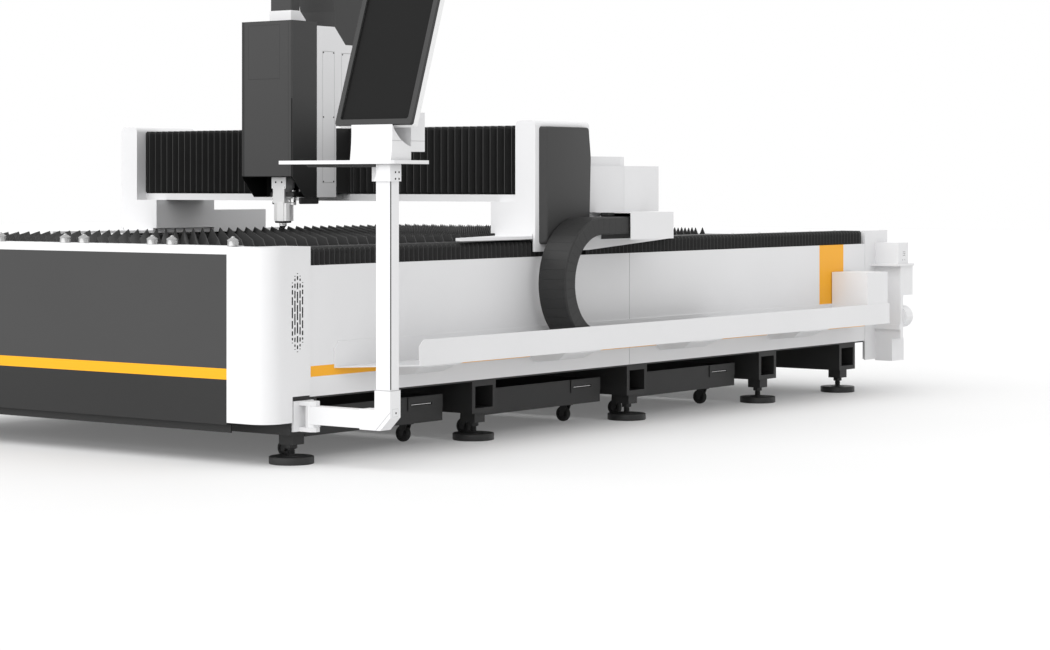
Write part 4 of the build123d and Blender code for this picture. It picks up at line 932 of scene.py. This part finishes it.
parts = []
for side in (-1, 1):
    for column, key in columns:
        for offset, length in vents[key]:
            outline = ventSlot(length, vents["half"])
            for up in (-1, 1):
                middle, height = vents["y"] + column * vents["pitch"], vents["z"] + up * offset
                rings = []
                for depth in vents["depths"]:
                    rings.append([(side * (vents["side"] + depth), middle + y, height + z) for y, z in outline])
                parts.append(placed("ventSlot", tube(rings, True), slotShadow))
slots = joined("ventSlots", parts)
mount(slots, "bed")
print("vent slots", len(slots.data.polygons))

# bolt holes on the arm and its tray bracket, holes in a box on the rear rack, and the small block on the chain hood

bracketHoles = {"x": 1634, "y": (-6.5, 13.5), "z": (1052, 1076), "radius": 3.9, "elbow": (1632, -1, 213)}
valveHoles = {"x": 1323, "y": 4354, "z": 672, "pitch": 9, "rows": 3, "radius": 2.2, "lower": (4348, 650, 24)}
hoodBlock = {"low": (1262, 1796, 897), "high": (1306, 1841, 911), "edge": 2}


def drilled(radius):
    return turned([(0, 0.3), (radius - 0.7, 0.3), (radius, 0.25), (radius, -0.5), (0, -0.5)], 16, axis="x")


cell = drilled(bracketHoles["radius"])
parts = [row("bracketHoles", cell, 1, (0, 1, 0), bracketHoles["elbow"], slotShadow)]
first, second = bracketHoles["y"]
for z in bracketHoles["z"]:
    start = (bracketHoles["x"], first, z)
    parts.append(row("bracketHoles", cell, 2, (0, second - first, 0), start, slotShadow))
mount(joined("bracketHoles", parts), "arm")
cell = drilled(valveHoles["radius"])
y, z, apart = valveHoles["lower"]
parts = [row("valveHoles", cell, 2, (0, apart, 0), (valveHoles["x"], y, z), slotShadow)]
for i in range(valveHoles["rows"]):
    start = (valveHoles["x"], valveHoles["y"], valveHoles["z"] + i * valveHoles["pitch"])
    parts.append(row("valveHoles", cell, valveHoles["rows"], (0, valveHoles["pitch"], 0), start, slotShadow))
mount(joined("valveHoles", parts), "bed")
hood = placed("hoodBlock", bar(hoodBlock["low"], hoodBlock["high"], hoodBlock["edge"]), blackPlastic)
mount(hood, "gantry")
print("bracket and hood details done")

# gantry end covers with rounded corners

endCover = {"inner": 1209, "depth": 25, "front": 1432, "rear": 1770, "bottom": 783, "waist": 1146, "top": 1271,
            "toe": 13, "lean": 16, "bevel": 24, "edge": 4, "corner": 16, "rounding": 5}


def coverOutline(cover, front, edge):
    # outline of the cover in y and z, its corners rounded
    low, high, rear = cover["bottom"] + edge, cover["top"] - edge, cover["rear"] - edge
    corners = [(cover["front"] + front, low), (rear - cover["toe"], low), (rear, cover["waist"]),
               (rear - cover["lean"], high), (cover["front"] + front, high)]
    outline = []
    for i, corner in enumerate(corners):
        here = Vector(corner)
        before = (Vector(corners[i - 1]) - here).normalized() * cover["corner"]
        after = (Vector(corners[(i + 1) % len(corners)]) - here).normalized() * cover["corner"]
        for step in range(cover["rounding"] + 1):
            t = step / cover["rounding"]
            outline.append(here + before * (1 - t) ** 2 + after * t ** 2)
    return outline


depth, bevel = endCover["depth"], endCover["bevel"]
steps = ((0, 0, 0), (1, 0, 0), (depth - 5, bevel - 5, 0), (depth - 1.4, bevel - 1, 1.2),
         (depth, bevel + 2, endCover["edge"]))
sections = []
for x, front, edge in steps:
    sections.append([(endCover["inner"] + x, y, z) for y, z in coverOutline(endCover, front, edge)])
cell = tube(sections, True)
covers = joined("endCovers", [placed("endCovers", turn(cell), darkPaint) for turn in (asDrawn, flipped)])
soften(covers, 28)
mount(covers, "gantry", "end_covers")
print("end covers", len(covers.data.polygons))

# folded brackets that carry the cable trough, in a row under it

troughBrackets = {"count": 4, "first": 440, "pitch": 935, "length": 262, "taper": 46, "endShare": 0.15,
                  "section": ((1190.4, 345.6), (1386, 345.6), (1386, 340), (1318, 310), (1190.4, 298))}
length, taper, share = troughBrackets["length"], troughBrackets["taper"], troughBrackets["endShare"]
top = troughBrackets["section"][0][1]
sections = []
for along, part in ((0, share), (taper, 1), (length - taper, 1), (length, share)):
    sections.append([(x, along, top + (z - top) * part) for x, z in troughBrackets["section"]])
brackets = row("troughBrackets", tube(sections, True), troughBrackets["count"], (0, troughBrackets["pitch"], 0),
               (0, troughBrackets["first"], 0), whitePaint)
mount(joined("troughBrackets", [brackets]), "bed")

# dark stiffening plates under the keyboard tray

trayPlates = {"front": -38, "rear": 100, "top": 1104.8, "thick": 10, "taper": 14,
              "runs": ((1231, 1464), (1505, 1555.5))}
top, low = trayPlates["top"], trayPlates["top"] - trayPlates["thick"]
parts = []
for left, right in trayPlates["runs"]:
    taper = min(trayPlates["taper"], (right - left) / 3)
    outline = [(left, top), (left + taper, low), (right - taper, low), (right, top)]
    sections = [[(x, y, z) for x, z in outline] for y in (trayPlates["front"], trayPlates["rear"])]
    parts.append(placed("trayPlates", tube(sections, True), blackPaint))
mount(joined("trayPlates", parts), "arm")
print("brackets and tray plates done")

# pull plates on the scrap carts, each round the cart's slot with a bright grip rod in it

cartPulls = {"near": 1108.8, "far": 1113, "plate": (700, 915, 141, 195), "slot": (718, 848, 159, 168),
             "rod": 2.6, "rodPlace": (1107.5, 163.5), "rodEdge": 0.4, "rodSunk": 0.5, "weld": 0.00001}


def ringPlate(pull, shift):
    # a flat plate with one rectangular opening
    points, faces = [], []
    for x in (pull["near"], pull["far"]):
        for left, right, low, high in (pull["plate"], pull["slot"]):
            corners = ((left, low), (right, low), (right, high), (left, high))
            points += [(x, y + shift, z) for y, z in corners]
    for i in range(4):
        j = (i + 1) % 4
        for a, b in ((0, 4), (8, 12), (0, 8), (4, 12)):
            faces.append((a + i, a + j, b + j, b + i))
    return points, faces


left, right = cartPulls["slot"][:2]
x, z = cartPulls["rodPlace"]
sunk = cartPulls["rodSunk"]
for cart, rowStart in enumerate(wheel["rows"], 1):
    name = f"cart{cart}Pull"
    rod = stub(cartPulls["rod"], left + rowStart - sunk, right + rowStart + sunk, cartPulls["rodEdge"], "y")
    parts = [placed(name, ringPlate(cartPulls, rowStart), blackPaint), placed(name, rod, brightSteel, (x, 0, z))]
    mount(joined(name, parts, cartPulls["weld"]), f"cart_{cart}")
print("cart pulls done")

# bolts on the rear panel, the rear deck and the gantry's rear covers

coverBolts = {"profile": ((0, -0.5), (6.5, -0.5), (7, 0), (7, 1.6), (6, 2.4), (3.4, 2.6), (2.8, 1.2), (0, 1.2)),
              "rear": (9, 280, -1120, 4260, (270, 767)), "deck": (5, 240, (-1040, 1040), 3200, 797),
              "girder": (4, 283, (-959, 110), 1720, (1008, 1230))}
faceBolt, deckBolt = turned(coverBolts["profile"], 12, axis="y"), turned(coverBolts["profile"], 12)
count, step, x, y, heights = coverBolts["rear"]
parts = [row("rearBolts", faceBolt, count, (step, 0, 0), (x, y, z), brightSteel) for z in heights]
count, step, sides, y, z = coverBolts["deck"]
parts += [row("rearBolts", deckBolt, count, (0, step, 0), (x, y, z), brightSteel) for x in sides]
mount(joined("rearBolts", parts), "bed")
count, step, starts, y, heights = coverBolts["girder"]
parts = [row("girderBolts", faceBolt, count, (step, 0, 0), (x, y, z), brightSteel) for x in starts for z in heights]
mount(joined("girderBolts", parts), "gantry")
print("rear bolts done")

# studio: pale floor, soft key light and white surroundings

studio = {"floor": 40000, "white": 1.0, "key": 2.0, "keyAngle": 90, "keyFrom": (-0.22, -1.15, 0.95), "glow": 0.13}
pale = Finish("paleFloor")
cloud = pale.noise(0.6, 3.0)
pale.set(Base_Color=pale.toned(cloud, (207, 211)), Roughness=0.75 + (cloud - 0.5) * 0.1)
pale.set(Emission_Color=(1.0, 1.0, 1.0, 1.0), Emission_Strength=studio["glow"])
half = studio["floor"]
corners = [(-half, -half, 0), (half, -half, 0), (half, half, 0), (-half, half, 0)]
floor = piece("studioFloor", mesh("studioFloor", corners, [(0, 1, 2, 3)]), [pale.material])

world = bpy.data.worlds.new("studioWhite")
scene.world = world
world.use_nodes = True
background = world.node_tree.nodes["Background"].inputs
background["Color"].default_value = (1.0, 1.0, 1.0, 1.0)
background["Strength"].default_value = studio["white"]
keyLight = show(bpy.data.objects.new("keyLight", bpy.data.lights.new("keyLight", "SUN")))
keyLight.data.energy = studio["key"]
keyLight.data.angle = math.radians(studio["keyAngle"])
keyLight.rotation_euler = Vector(studio["keyFrom"]).to_track_quat("Z", "Y").to_euler()
scene.view_settings.view_transform = "Standard"

view = {"place": (7.2148, -9.135, 1.040), "turn": 36.8, "lens": 87.26, "sensor": 36, "shift": -0.136, "reach": 200}
camera = show(bpy.data.objects.new("camera", bpy.data.cameras.new("camera")))
camera.location = view["place"]
camera.rotation_euler = (math.radians(90), 0, math.radians(view["turn"]))
camera.data.sensor_width = view["sensor"]
camera.data.lens = view["lens"]
camera.data.shift_y = view["shift"]
camera.data.clip_end = view["reach"]
bpy.context.scene.camera = camera
print("studio set")
